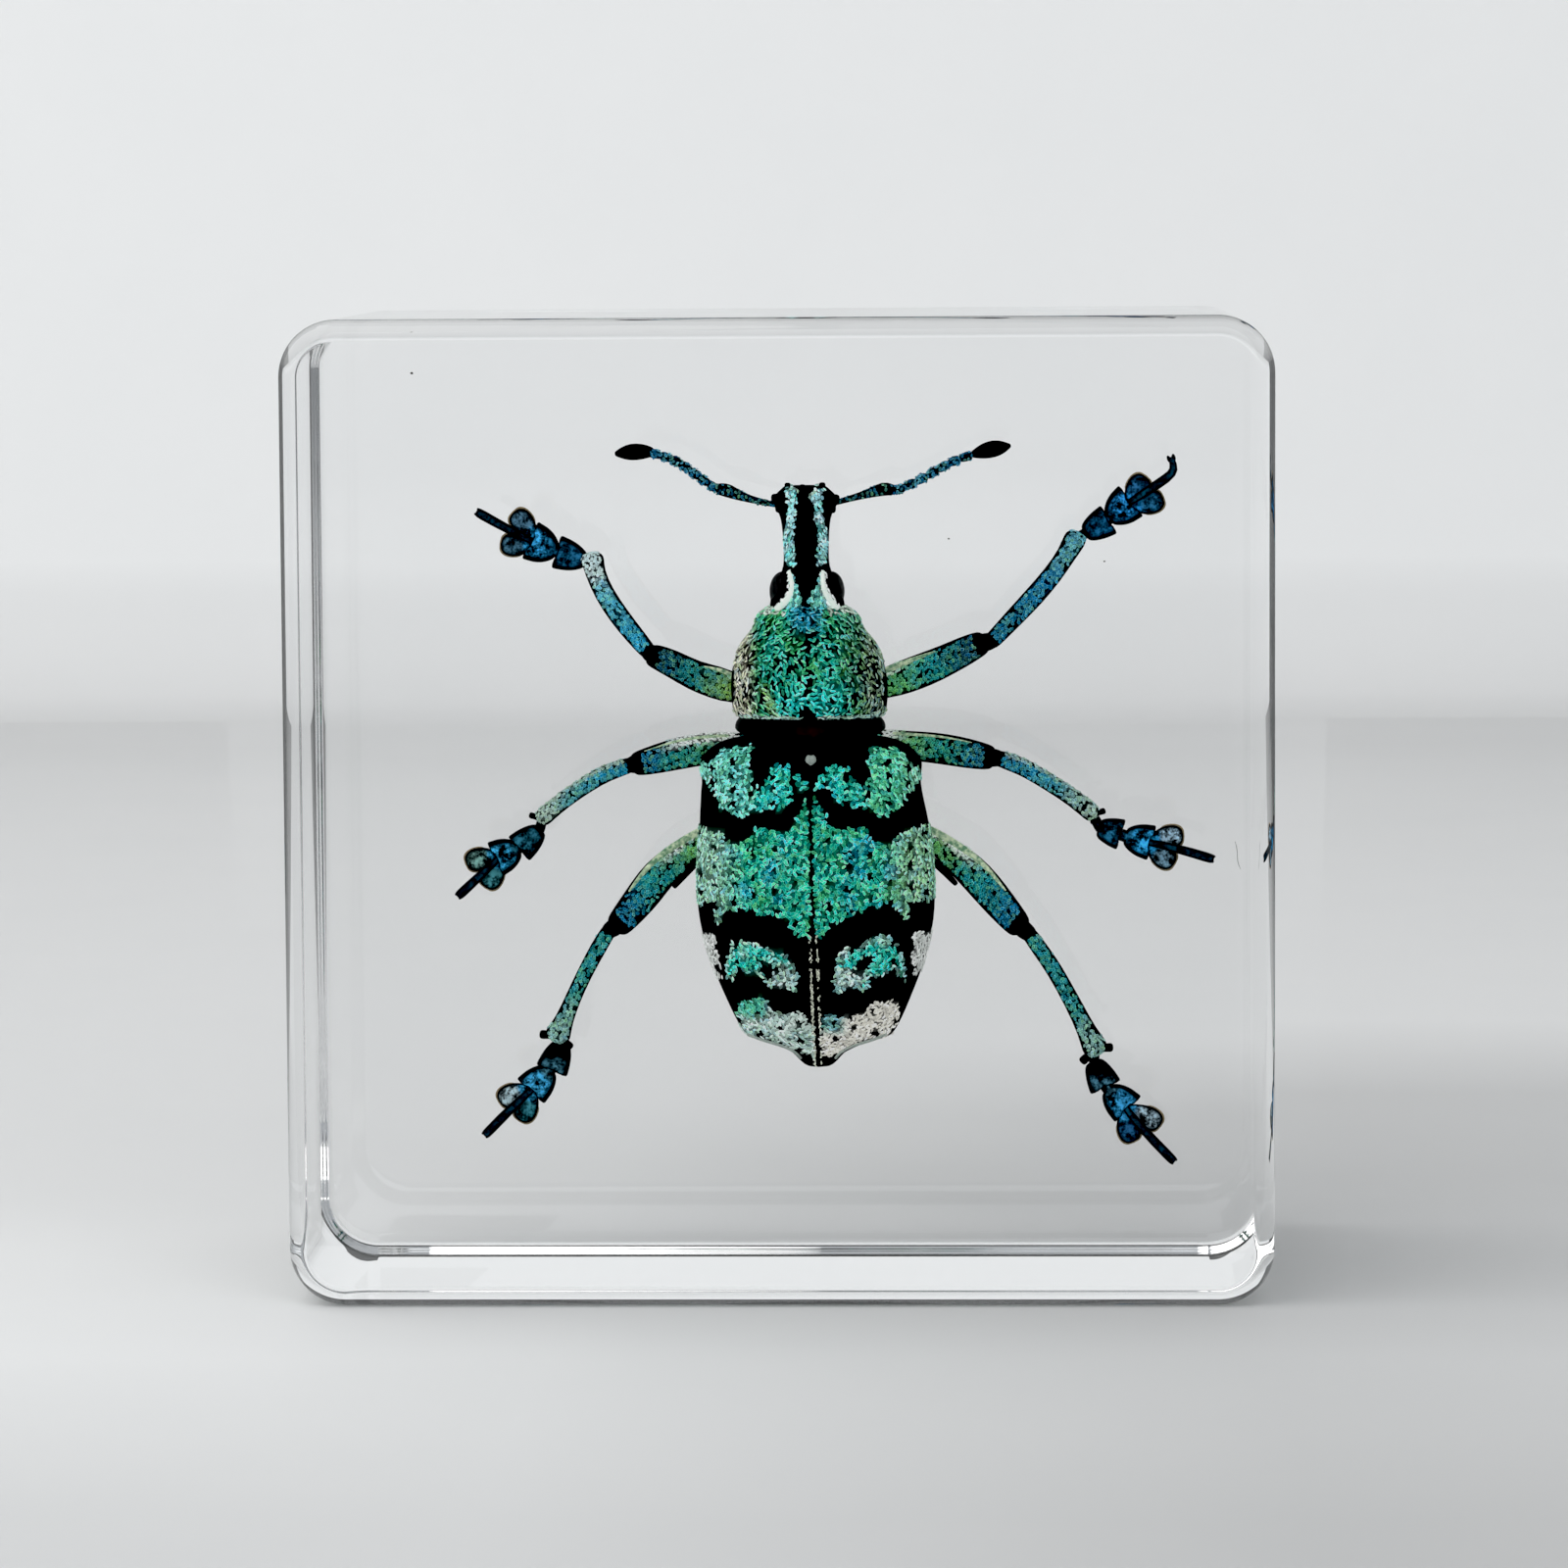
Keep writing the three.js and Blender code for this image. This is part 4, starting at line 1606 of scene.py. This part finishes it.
def scale_cover(name, jobs, size, finish, seed, region=None, glints=PAINTED_GLINTS):
    """One mesh of small domed scales. Each job is (piece, spacing, colour rule)."""
    rng = np.random.default_rng(seed)
    vertices, faces, colours = [], [], []
    length, width, spread = size
    angles = [2 * math.pi * k / SCALE_SIDES for k in range(SCALE_SIDES)]
    made = 0
    for piece, spacing, rule in jobs:
        if not region:
            dye_shell(piece, rule, DYE_INSET)
        points, normals, kept, drawn = surface_points(piece, spacing, rng, region)
        turns = rng.normal(0, spread, drawn)[kept]
        grow = rng.uniform(0.85, 1.2, drawn)[kept]
        shade = rng.uniform(0.75, 1.25, drawn)[kept]
        lots = rng.random(drawn)[kept]
        drifts = rng.normal(0, HUE_DRIFT / 2, drawn)[kept]
        for index in range(len(points)):
            point, normal = points[index], normals[index]
            colour = rule(point, normal)
            if colour is None:
                continue
            made += 1
            up = Vector(normal)
            along = Vector((0, 0, -1)) - up * -up.z
            if along.length < 0.05:
                along = Vector((1, 0, 0)) - up * up.x
            along.normalize()
            along.rotate(Matrix.Rotation(turns[index], 3, up))
            across = up.cross(along)
            root = Vector(point) + up * 0.012
            first = len(vertices)
            for share, rise in ((1.0, 0.0), (CORE_SHARE, 0.03)):
                half_long = length / 2 * grow[index] * share
                half_wide = width / 2 * grow[index] * share
                for angle in angles:
                    lift = rise + 0.035 * (1 + math.cos(angle)) / 2 * share
                    side = across * math.sin(angle) * half_wide
                    vertices.append((root + along * math.cos(angle) * half_long + side + up * lift) * MM)
            vertices.append((root + up * 0.06) * MM)
            outer = [first + k for k in range(SCALE_SIDES)]
            inner = [first + SCALE_SIDES + k for k in range(SCALE_SIDES)]
            apex = first + 2 * SCALE_SIDES
            for k in range(SCALE_SIDES):
                after = (k + 1) % SCALE_SIDES
                faces.append((outer[k], outer[after], inner[after], inner[k]))
                faces.append((inner[k], inner[after], apex))
            faces.append(tuple(reversed(outer)))
            # Each scale gets its painted glint. Its rim ring gets a painted highlight tinted towards mint,
            # over a darker core.
            bright, tint = next(lot[1:] for lot in glints if lots[index] < lot[0])
            pale = paleness(colour)
            bright = mix(bright * shade[index], 1.0, pale * PALE_CALM)
            drift = min(abs(drifts[index]), HUE_DRIFT) * (1 - pale)
            colour = mix(colour, LIME if drifts[index] > 0 else AZURE, drift)
            core = np.minimum(colour * bright * mix(CORE_DEPTH, PALE_CORE, pale), 1.0)
            minty = mix(colour, MINT, tint * (1 - pale))
            rim = np.minimum(minty * bright * mix(RIM_HIGHLIGHT, PALE_RIM, pale), 1.0)
            colours.extend([rim] * SCALE_SIDES + [core] * (SCALE_SIDES + 1))
    mesh = bpy.data.meshes.new(name)
    mesh.from_pydata(vertices, [], faces)
    layer = mesh.color_attributes.new("scale_colour", "FLOAT_COLOR", "POINT")
    flat = np.ones((len(colours), 4), dtype=np.float32)
    flat[:, :3] = np.array(colours)
    layer.data.foreach_set("color", flat.ravel())
    mesh.update()
    piece = bpy.data.objects.new(name, mesh)
    bpy.context.scene.collection.objects.link(piece)
    print(name, made, "scales")
    return finish_piece(piece, finish)


DYE_INSET = 0.18  # how far inside the edge of a scaled patch the dye of the shell stops
PALE_DYE = 2.0  # how many times more dye lies under pale scales


def dye_shell(piece, rule, inset=0.0):
    """Gives a piece the colours of a rule, vertex by vertex; under scales they stop short of the edges."""
    steps = ((inset, 0), (-inset, 0), (0, inset), (0, -inset)) if inset else ()
    mesh = piece.data
    layer = mesh.color_attributes.new("scale_colour", "FLOAT_COLOR", "POINT")
    flat = np.zeros((len(mesh.vertices), 4), dtype=np.float32)
    flat[:, 3] = 1.0
    for index, vertex in enumerate(mesh.vertices):
        point = vertex.co / MM
        colour = rule(point, vertex.normal)
        if any(rule(point + Vector((x, 0, z)), vertex.normal) is None for x, z in steps):
            colour = None
        if colour is not None:
            flat[index, :3] = colour * (mix(1.0, PALE_DYE, paleness(colour)) if inset else 1.0)
    layer.data.foreach_set("color", flat.ravel())


# The side of the legs that faces this way carries a painted highlight, up to these shares of each thigh.
HIGHLIGHT_UP = Vector((0, -0.25, 1)).normalized()
THIGH_HIGHLIGHT_REACH = {
    "front_left": 0.3, "front_right": 0.42, "middle_left": 0.75,
    "middle_right": 0.3, "hind_left": 0.5, "hind_right": 0.55,
}
LEAF = tone(112, 186, 104)
LAGOON = tone(38, 158, 158)
MARINE = tone(20, 112, 158)
PEARL = tone(206, 228, 230)
# Along each thigh, then along each shin; a shin's last tone is also the colour of its painted highlight.
LEG_TONES = {
    "front_left": (tone(146, 190, 92), tone(40, 140, 140), tone(12, 58, 84),
                   tone(50, 162, 208), tone(96, 186, 216), PEARL),
    "front_right": (tone(104, 194, 112), LAGOON, tone(12, 66, 104),
                    MARINE, tone(34, 128, 184), tone(92, 158, 178)),
    "middle_left": (LEAF, tone(44, 152, 136), MARINE * 0.8,
                    tone(34, 138, 178), tone(84, 164, 178), tone(174, 196, 182)),
    "middle_right": (LEAF, tone(44, 152, 132), MARINE * 0.7,
                     tone(30, 132, 178), tone(80, 162, 180), tone(170, 194, 184)),
    "hind_left": (LEAF, LAGOON, MARINE, tone(44, 146, 150), tone(60, 156, 156), tone(150, 192, 184)),
    "hind_right": (LEAF, LAGOON, MARINE, tone(40, 144, 150), tone(58, 154, 158), tone(150, 190, 184)),
}
# How far along each shin its upper edge carries a painted highlight; below nought none of it does.
SHIN_HIGHLIGHT_REACH = {
    "front_left": -0.2, "front_right": -0.2, "middle_left": 1.3,
    "middle_right": 1.3, "hind_left": 1.3, "hind_right": 1.3,
}


def scale_pieces(body, legs, antennae):
    """All the covers of scales, and the dye on the feet and claws."""
    # Both scale finishes give off the scales' colours as a painted glow.
    glitter = scale_finish("turquoise_scales_painted_glow", WING_PAINTED_GLOW)
    blue = scale_finish("blue_scales_painted_glow", LEG_PAINTED_GLOW)
    scale_cover(
        "scales_wing_cases",
        [(case, 0.12, wing_colour) for case in body["wing_cases"]],
        (0.27, 0.14, 1.2), glitter, SEED,
    )
    scale_cover(
        "scales_seam", [(case, 0.07, seam_colour) for case in body["wing_cases"]],
        (0.13, 0.07, 0.2), glitter, SEED + 6, near_seam,
    )
    scale_cover(
        "scales_pronotum", [(body["pronotum"], 0.135, pronotum_colour)],
        (0.3, 0.12, 1.5), glitter, SEED + 1,
    )
    scale_cover(
        "scales_head", [(body["head"], 0.1, head_colour)],
        (0.2, 0.14, 0.5), glitter, SEED + 2,
    )
    for number, (name, leg) in enumerate(legs.items()):
        path = LEGS[name]
        tones = LEG_TONES[name]
        start, end = path["femur"][0], path["femur"][-1]
        reach = THIGH_HIGHLIGHT_REACH[name]
        # WHITE is the colour of the thighs' painted highlight.
        thigh_rule = leg_colour(tones[:3], start, end, HIGHLIGHT_UP, (0.1, 0.96), reach, WHITE)
        start, end = path["tibia"][0], path["tibia"][-1]
        shin_rule = leg_colour(tones[3:], start, end, HIGHLIGHT_UP, (0.03, 1.1), SHIN_HIGHLIGHT_REACH[name], tones[5])
        jobs = [(leg["femur"], 0.105, thigh_rule), (leg["tibia"], 0.1, shin_rule)]
        scale_cover(
            "scales_leg_" + name, jobs, (0.19, 0.14, 0.8), blue, SEED + 10 + number,
            glints=CALM,
        )
        dye_shell(leg["foot"], foot_colour(name))
        dye_shell(leg["claw"], claw_colour)
    jobs = []
    for parts in antennae.values():
        jobs.append((parts["scape"], 0.13, scape_colour))
        jobs.append((parts["funicle"], 0.11, feeler_colour))
    scale_cover(
        "scales_antennae", jobs, (0.17, 0.12, 0.6), blue, SEED + 4, glints=CALM,
    )
    scale_cover(
        "scales_belly", [(body["belly"], 0.3, belly_colour)],
        (0.32, 0.2, 0.7), glitter, SEED + 5,
    )


SCUTELLUM_HEIGHT = 24.6
SCUTELLUM_RIGHT = 0.06  # how far its middle is right of the midline
SCUTELLUM_DEPTH = 7.45
SCUTELLUM_SIZE = (0.26, 0.16, 0.3)
SCUTELLUM_TIP = (0.45, 0.8, 1.15)  # how much its lower end is narrowed and drawn out


def scutellum(finish):
    """The small pale heart between the wing-case shoulders."""
    deselect()
    centre = place(midline(SCUTELLUM_HEIGHT) + SCUTELLUM_RIGHT, SCUTELLUM_HEIGHT, SCUTELLUM_DEPTH)
    bpy.ops.mesh.primitive_uv_sphere_add(segments=20, ring_count=12, radius=MM, location=centre)
    piece = bpy.context.object
    piece.name = "scutellum"
    settle(piece)
    edit(piece)
    bpy.ops.mesh.select_all(action="SELECT")
    bpy.ops.transform.resize(value=SCUTELLUM_SIZE, center_override=centre)
    pick(piece, "verts", lambda v: v.co.z < centre.z - 0.12 * MM)
    bpy.ops.transform.resize(value=SCUTELLUM_TIP, center_override=centre)
    pick(piece, "verts", lambda v: v.co.z > centre.z + 0.2 * MM and abs(v.co.x - centre.x) < 0.07 * MM)
    bpy.ops.transform.translate(value=(0, 0, -0.07 * MM))
    done()
    settle(piece)
    smooth(piece)
    return finish_piece(piece, finish)


# ---------------------------------------------------------------- dust in the casting

SPECKS = [(-17.1, 42.37, 12, 0.07), (7.71, 34.6, 12, 0.05), (14.9, 33.52, 12, 0.05)]


def dust():
    """A few specks and one short fibre caught in the resin."""
    finish = speck_finish()
    grains = []
    for number, (x, z, depth, half) in enumerate(SPECKS):
        rings = [
            (x - half, z, depth, half * 0.7), (x, z + half * 0.3, depth, half),
            (x + half, z, depth, half * 0.6),
        ]
        grains.append(limb("speck%d" % number, rings, sides=6, round_ends=False))
    grains.append(
        limb(
            "fibre",
            [(20.9, 20.6, 11.5, 0.012), (21.05, 20.1, 11.6, 0.014), (21.0, 19.6, 11.6, 0.014),
             (21.2, 19.2, 11.5, 0.012)],
            sides=6, round_ends=False,
        )
    )
    return finish_piece(join("casting_specks", grains), finish)


# ---------------------------------------------------------------- studio

CAMERA_PLACE = (10.71, -302.5, 50.42)
CAMERA_TURN = 2.055
CAMERA_TILT = 5.208
CAMERA_ROLL = -0.359
CAMERA_LENS = 148.0

FLOOR_DROP = 0.03
WALL_Y = 330.0
SWEEP = 12.0


# The card's paleness, graded as painted light and shade: brightest just before the block, darker towards the
# front edge and the foot of the wall, as (place from its front edge to the wall, share of light it gives
# back).
FLOOR_TONES = [
    (0.0, 0.66), (0.051, 0.70), (0.098, 0.79), (0.134, 0.85), (0.195, 0.81), (0.261, 0.75),
    (0.612, 0.715), (0.805, 0.685), (0.902, 0.655), (1.0, 0.67),
]
# The wall's paleness, darker towards its foot as painted shade, as (height over WALL_TONE_HEIGHT, share of
# light it gives back).
WALL_TONES = [(0.0, 0.67), (0.12, 0.71), (0.7, 0.835), (1.0, 0.92)]
# A painted shadow on the card to the right of the block: from this far left of it, over this reach, by this
# share, up to this far behind it.
PAINTED_SHADOW_LEFT = 10.0
PAINTED_SHADOW_REACH = 32.0
PAINTED_SHADOW_DEPTH = 0.2
PAINTED_SHADOW_BACK = 90.0
FLOOR_FRONT = -80.0
WALL_TONE_HEIGHT = 15.0


def studio_finish():
    """Pale matt card with painted light and shade: a little darker towards its front edge and the foot of
    the wall, brightest just before the block, with a painted shadow to the right of the block.
    """
    finish = Finish("studio_card", Roughness=0.7, IOR=1.3)
    point = finish.place()
    parts = finish.node("ShaderNodeSeparateXYZ", None, {0: point})
    back, up = Socket(finish, parts.outputs[1]), Socket(finish, parts.outputs[2])
    on_floor = (back - FLOOR_FRONT) / (WALL_Y - FLOOR_FRONT)
    floor = finish.ramp(on_floor, [(at, opaque(tint, tint, tint)) for at, tint in FLOOR_TONES])
    wall = finish.ramp(up / WALL_TONE_HEIGHT, [(at, opaque(tint, tint, tint)) for at, tint in WALL_TONES])
    shown = finish.blend((up / 2.0).clamped(), floor, wall)
    grain = finish.noise(0.06, 3.0)
    shade = finish.blend(grain, opaque(0.97, 0.975, 0.975), opaque(1.0, 1.0, 0.998))
    toned = finish.add("ShaderNodeVectorMath", {"operation": "MULTIPLY"}, {0: shown, 1: shade})
    # A painted shadow, deepest to the right of the block and near it.
    rightwards = ((Socket(finish, parts.outputs[0]) + PAINTED_SHADOW_LEFT) / PAINTED_SHADOW_REACH).clamped()
    near = ((PAINTED_SHADOW_BACK - back) / PAINTED_SHADOW_REACH).clamped()
    painted_shadow = 1 - rightwards * near * PAINTED_SHADOW_DEPTH
    shadowed = finish.add("ShaderNodeVectorMath", {"operation": "SCALE"}, {0: toned, "Scale": painted_shadow})
    finish.feed(Base_Color=shadowed)
    return finish.material


BLACK_LEVEL = 0.008
LIGHT_BOUNCES = 24  # light turns many times in the corners of the block
# Graded cards beside the view, as (name, x of the foot near the block and far from it, x of the wall,
# paleness at each). Their inner edges lie just outside what is seen straight through the block.
SIDE_CARDS = (
    ("side_card_right", 26.0, 41.0, 120.0, 0.36, 0.18),
    ("side_card_left", -28.5, -66.0, -125.0, 0.5, 0.2),
)
SIDE_CARD_FRONT = 24.0
SIDE_CARD_BACK = 322.0
SIDE_CARD_HEIGHT = 260.0
BEND_FLAG = ((220.0, 55.0), (80.0, 230.0))  # (y, height) of its far edge and its near edge
BEND_FLAG_WIDTH = 300.0
VEIL_CARD_Y = -30.0
VEIL_CARD_SIZE = (170.0, 46.0)
CARD_WIDTH = 4000.0
CARD_DEPTH = 2000.0
WALL_HEIGHT = 2500.0
# The lights, as (name, place, point they aim at, size, watts, colour).
LIGHTS = (
    ("key_softbox", (-520, -180, 560), (0, 60, 10), 1300, 5.15, (1.0, 0.99, 0.97)),
    ("front_fill", (140, -620, 380), (0, 0, 20), 760, 1.8, (0.97, 0.985, 1.0)),
)
ROOM_COLOUR = (0.86, 0.9, 0.94)
ROOM_STRENGTH = 0.45


def studio():
    """A pale floor that turns up into a wall, graded cards, soft lights and the light of the room."""
    deselect()
    bpy.ops.mesh.primitive_plane_add(size=1, location=(0, 0, -FLOOR_DROP * MM))
    card = bpy.context.object
    card.name = "studio_card"
    card.scale = (CARD_WIDTH * MM, CARD_DEPTH * MM, 1)
    settle(card)
    edit(card)
    pick(card, "edges", lambda edge: all(v.co.y > 0 for v in edge.verts))
    bpy.ops.transform.translate(value=(0, (WALL_Y - CARD_DEPTH / 2) * MM, 0))
    bpy.ops.mesh.extrude_region_move(TRANSFORM_OT_translate={"value": (0, 0, WALL_HEIGHT * MM)})
    corner = lambda e: all(abs(v.co.y - WALL_Y * MM) < 1e-4 and abs(v.co.z) < 1e-3 for v in e.verts)
    pick(card, "edges", corner)
    bpy.ops.mesh.bevel(offset=SWEEP * MM, segments=8, profile=0.5)
    done()
    settle(card)
    bpy.ops.object.shade_smooth_by_angle(angle=math.radians(30))
    card.data.materials.append(studio_finish())
    for light in LIGHTS:
        add_light(*light)
    for side in SIDE_CARDS:
        side_card(*side)
    bend_flag()
    veil_card()
    world = bpy.data.worlds.new("soft_room")
    bpy.context.scene.world = world
    world.use_nodes = True
    background = world.node_tree.nodes["Background"]
    background.inputs["Color"].default_value = opaque(*ROOM_COLOUR)
    background.inputs["Strength"].default_value = ROOM_STRENGTH
    bounces = bpy.context.scene.cycles
    bounces.max_bounces = LIGHT_BOUNCES
    bounces.glossy_bounces = LIGHT_BOUNCES
    bounces.transmission_bounces = LIGHT_BOUNCES
    view = bpy.context.scene.view_settings
    view.view_transform = "Standard"
    view.use_curve_mapping = True
    view.curve_mapping.black_level = (BLACK_LEVEL, BLACK_LEVEL, BLACK_LEVEL)
    view.curve_mapping.update()


def hide_from_room(card):
    """Leaves a card to be met only by light that the block bends or mirrors."""
    card.visible_camera = False
    card.visible_diffuse = False
    card.visible_shadow = False


def graded_finish(name, near, far, axis, start, end):
    """Matt card that goes from one paleness to another along an axis."""
    finish = Finish(name, Roughness=0.9, IOR=1.1)
    parts = finish.node("ShaderNodeSeparateXYZ", None, {0: finish.place()})
    share = ((Socket(finish, parts.outputs[axis]) - start) / (end - start)).clamped()
    finish.feed(Base_Color=finish.blend(share, opaque(near, near, near), opaque(far, far, far)))
    return finish.material


def side_card(name, foot, far_foot, wall, near, far):
    """A graded card beside the view that lies on the floor and then stands up as a wall."""
    deselect()
    middle = Vector(((foot + wall) / 2, (SIDE_CARD_FRONT + SIDE_CARD_BACK) / 2, 0)) * MM
    bpy.ops.mesh.primitive_plane_add(size=1, location=middle)
    card = bpy.context.object
    card.name = name
    card.scale = (abs(wall - foot) * MM, (SIDE_CARD_BACK - SIDE_CARD_FRONT) * MM, 1)
    settle(card)
    edit(card)
    pick(card, "verts", lambda v: abs(v.co.x - foot * MM) < 1e-6 and v.co.y > 0.1)
    bpy.ops.transform.translate(value=((far_foot - foot) * MM, 0, 0))
    pick(card, "edges", lambda edge: all(abs(v.co.x - wall * MM) < 1e-6 for v in edge.verts))
    bpy.ops.mesh.extrude_region_move(TRANSFORM_OT_translate={"value": (0, 0, SIDE_CARD_HEIGHT * MM)})
    done()
    settle(card)
    card.data.materials.append(graded_finish(name + "_tone", near, far, 0, foot, wall))
    hide_from_room(card)


def bend_flag():
    """A dark card high behind the block, met only through its lower front rim."""
    (y0, z0), (y1, z1) = BEND_FLAG
    deselect()
    middle = Vector((0, (y0 + y1) / 2, (z0 + z1) / 2)) * MM
    bpy.ops.mesh.primitive_plane_add(size=1, location=middle)
    flag = bpy.context.object
    flag.name = "flag_above"
    flag.rotation_euler = (math.atan2(z1 - z0, y1 - y0), 0, 0)
    flag.scale = (BEND_FLAG_WIDTH * MM, math.hypot(y1 - y0, z1 - z0) * MM, 1)
    settle(flag)
    flag.data.materials.append(graded_finish("flag_above_card", 0.1, 0.04, 1, y0, y1))
    hide_from_room(flag)


def veil_card():
    """A dark card in front, met only by the block's mirror light, so that the resin stays clear."""
    deselect()
    width, height = VEIL_CARD_SIZE
    middle = Vector((0, VEIL_CARD_Y, height / 2)) * MM
    bpy.ops.mesh.primitive_plane_add(size=1, location=middle, rotation=(math.pi / 2, 0, 0))
    card = bpy.context.object
    card.name = "veil_card"
    card.scale = (width * MM, height * MM, 1)
    settle(card)
    card.data.materials.append(graded_finish("veil_card_black", 0.012, 0.02, 0, -width / 2, width / 2))
    card.visible_transmission = False
    hide_from_room(card)


def add_light(name, at, towards, size, watts, colour):
    data = bpy.data.lights.new(name, "AREA")
    data.shape = "DISK"
    data.size = size * MM
    data.energy = watts
    data.color = colour
    lamp = bpy.data.objects.new(name, data)
    bpy.context.scene.collection.objects.link(lamp)
    lamp.location = Vector(at) * MM
    aim = (Vector(towards) - Vector(at)).to_track_quat("-Z", "Y")
    lamp.rotation_euler = aim.to_euler()


def camera():
    data = bpy.data.cameras.new("camera")
    data.sensor_width = 36
    data.lens = CAMERA_LENS
    data.clip_start = 0.01
    body = bpy.data.objects.new("camera", data)
    bpy.context.scene.collection.objects.link(body)
    turn = (
        Matrix.Rotation(math.radians(CAMERA_TURN), 4, "Z")
        @ Matrix.Rotation(math.radians(90 - CAMERA_TILT), 4, "X")
        @ Matrix.Rotation(math.radians(CAMERA_ROLL), 4, "Z")
    )
    body.matrix_world = Matrix.Translation(Vector(CAMERA_PLACE) * MM) @ turn
    bpy.context.scene.camera = body


# ---------------------------------------------------------------- everything together

camera()
studio()
cast_block()
body = body_pieces()
legs = leg_pieces(cuticle_finish(), tarsus_finish())
antennae = antenna_pieces(cuticle_finish())
scale_pieces(body, legs, antennae)
down = down_finish()
hind_edge(down)
white = brow_finish()
head_trim(white, cuticle_finish())
thigh_highlight_ridges(highlight_ridge_finish())
hips(cuticle_finish())
scutellum(down)
dust()
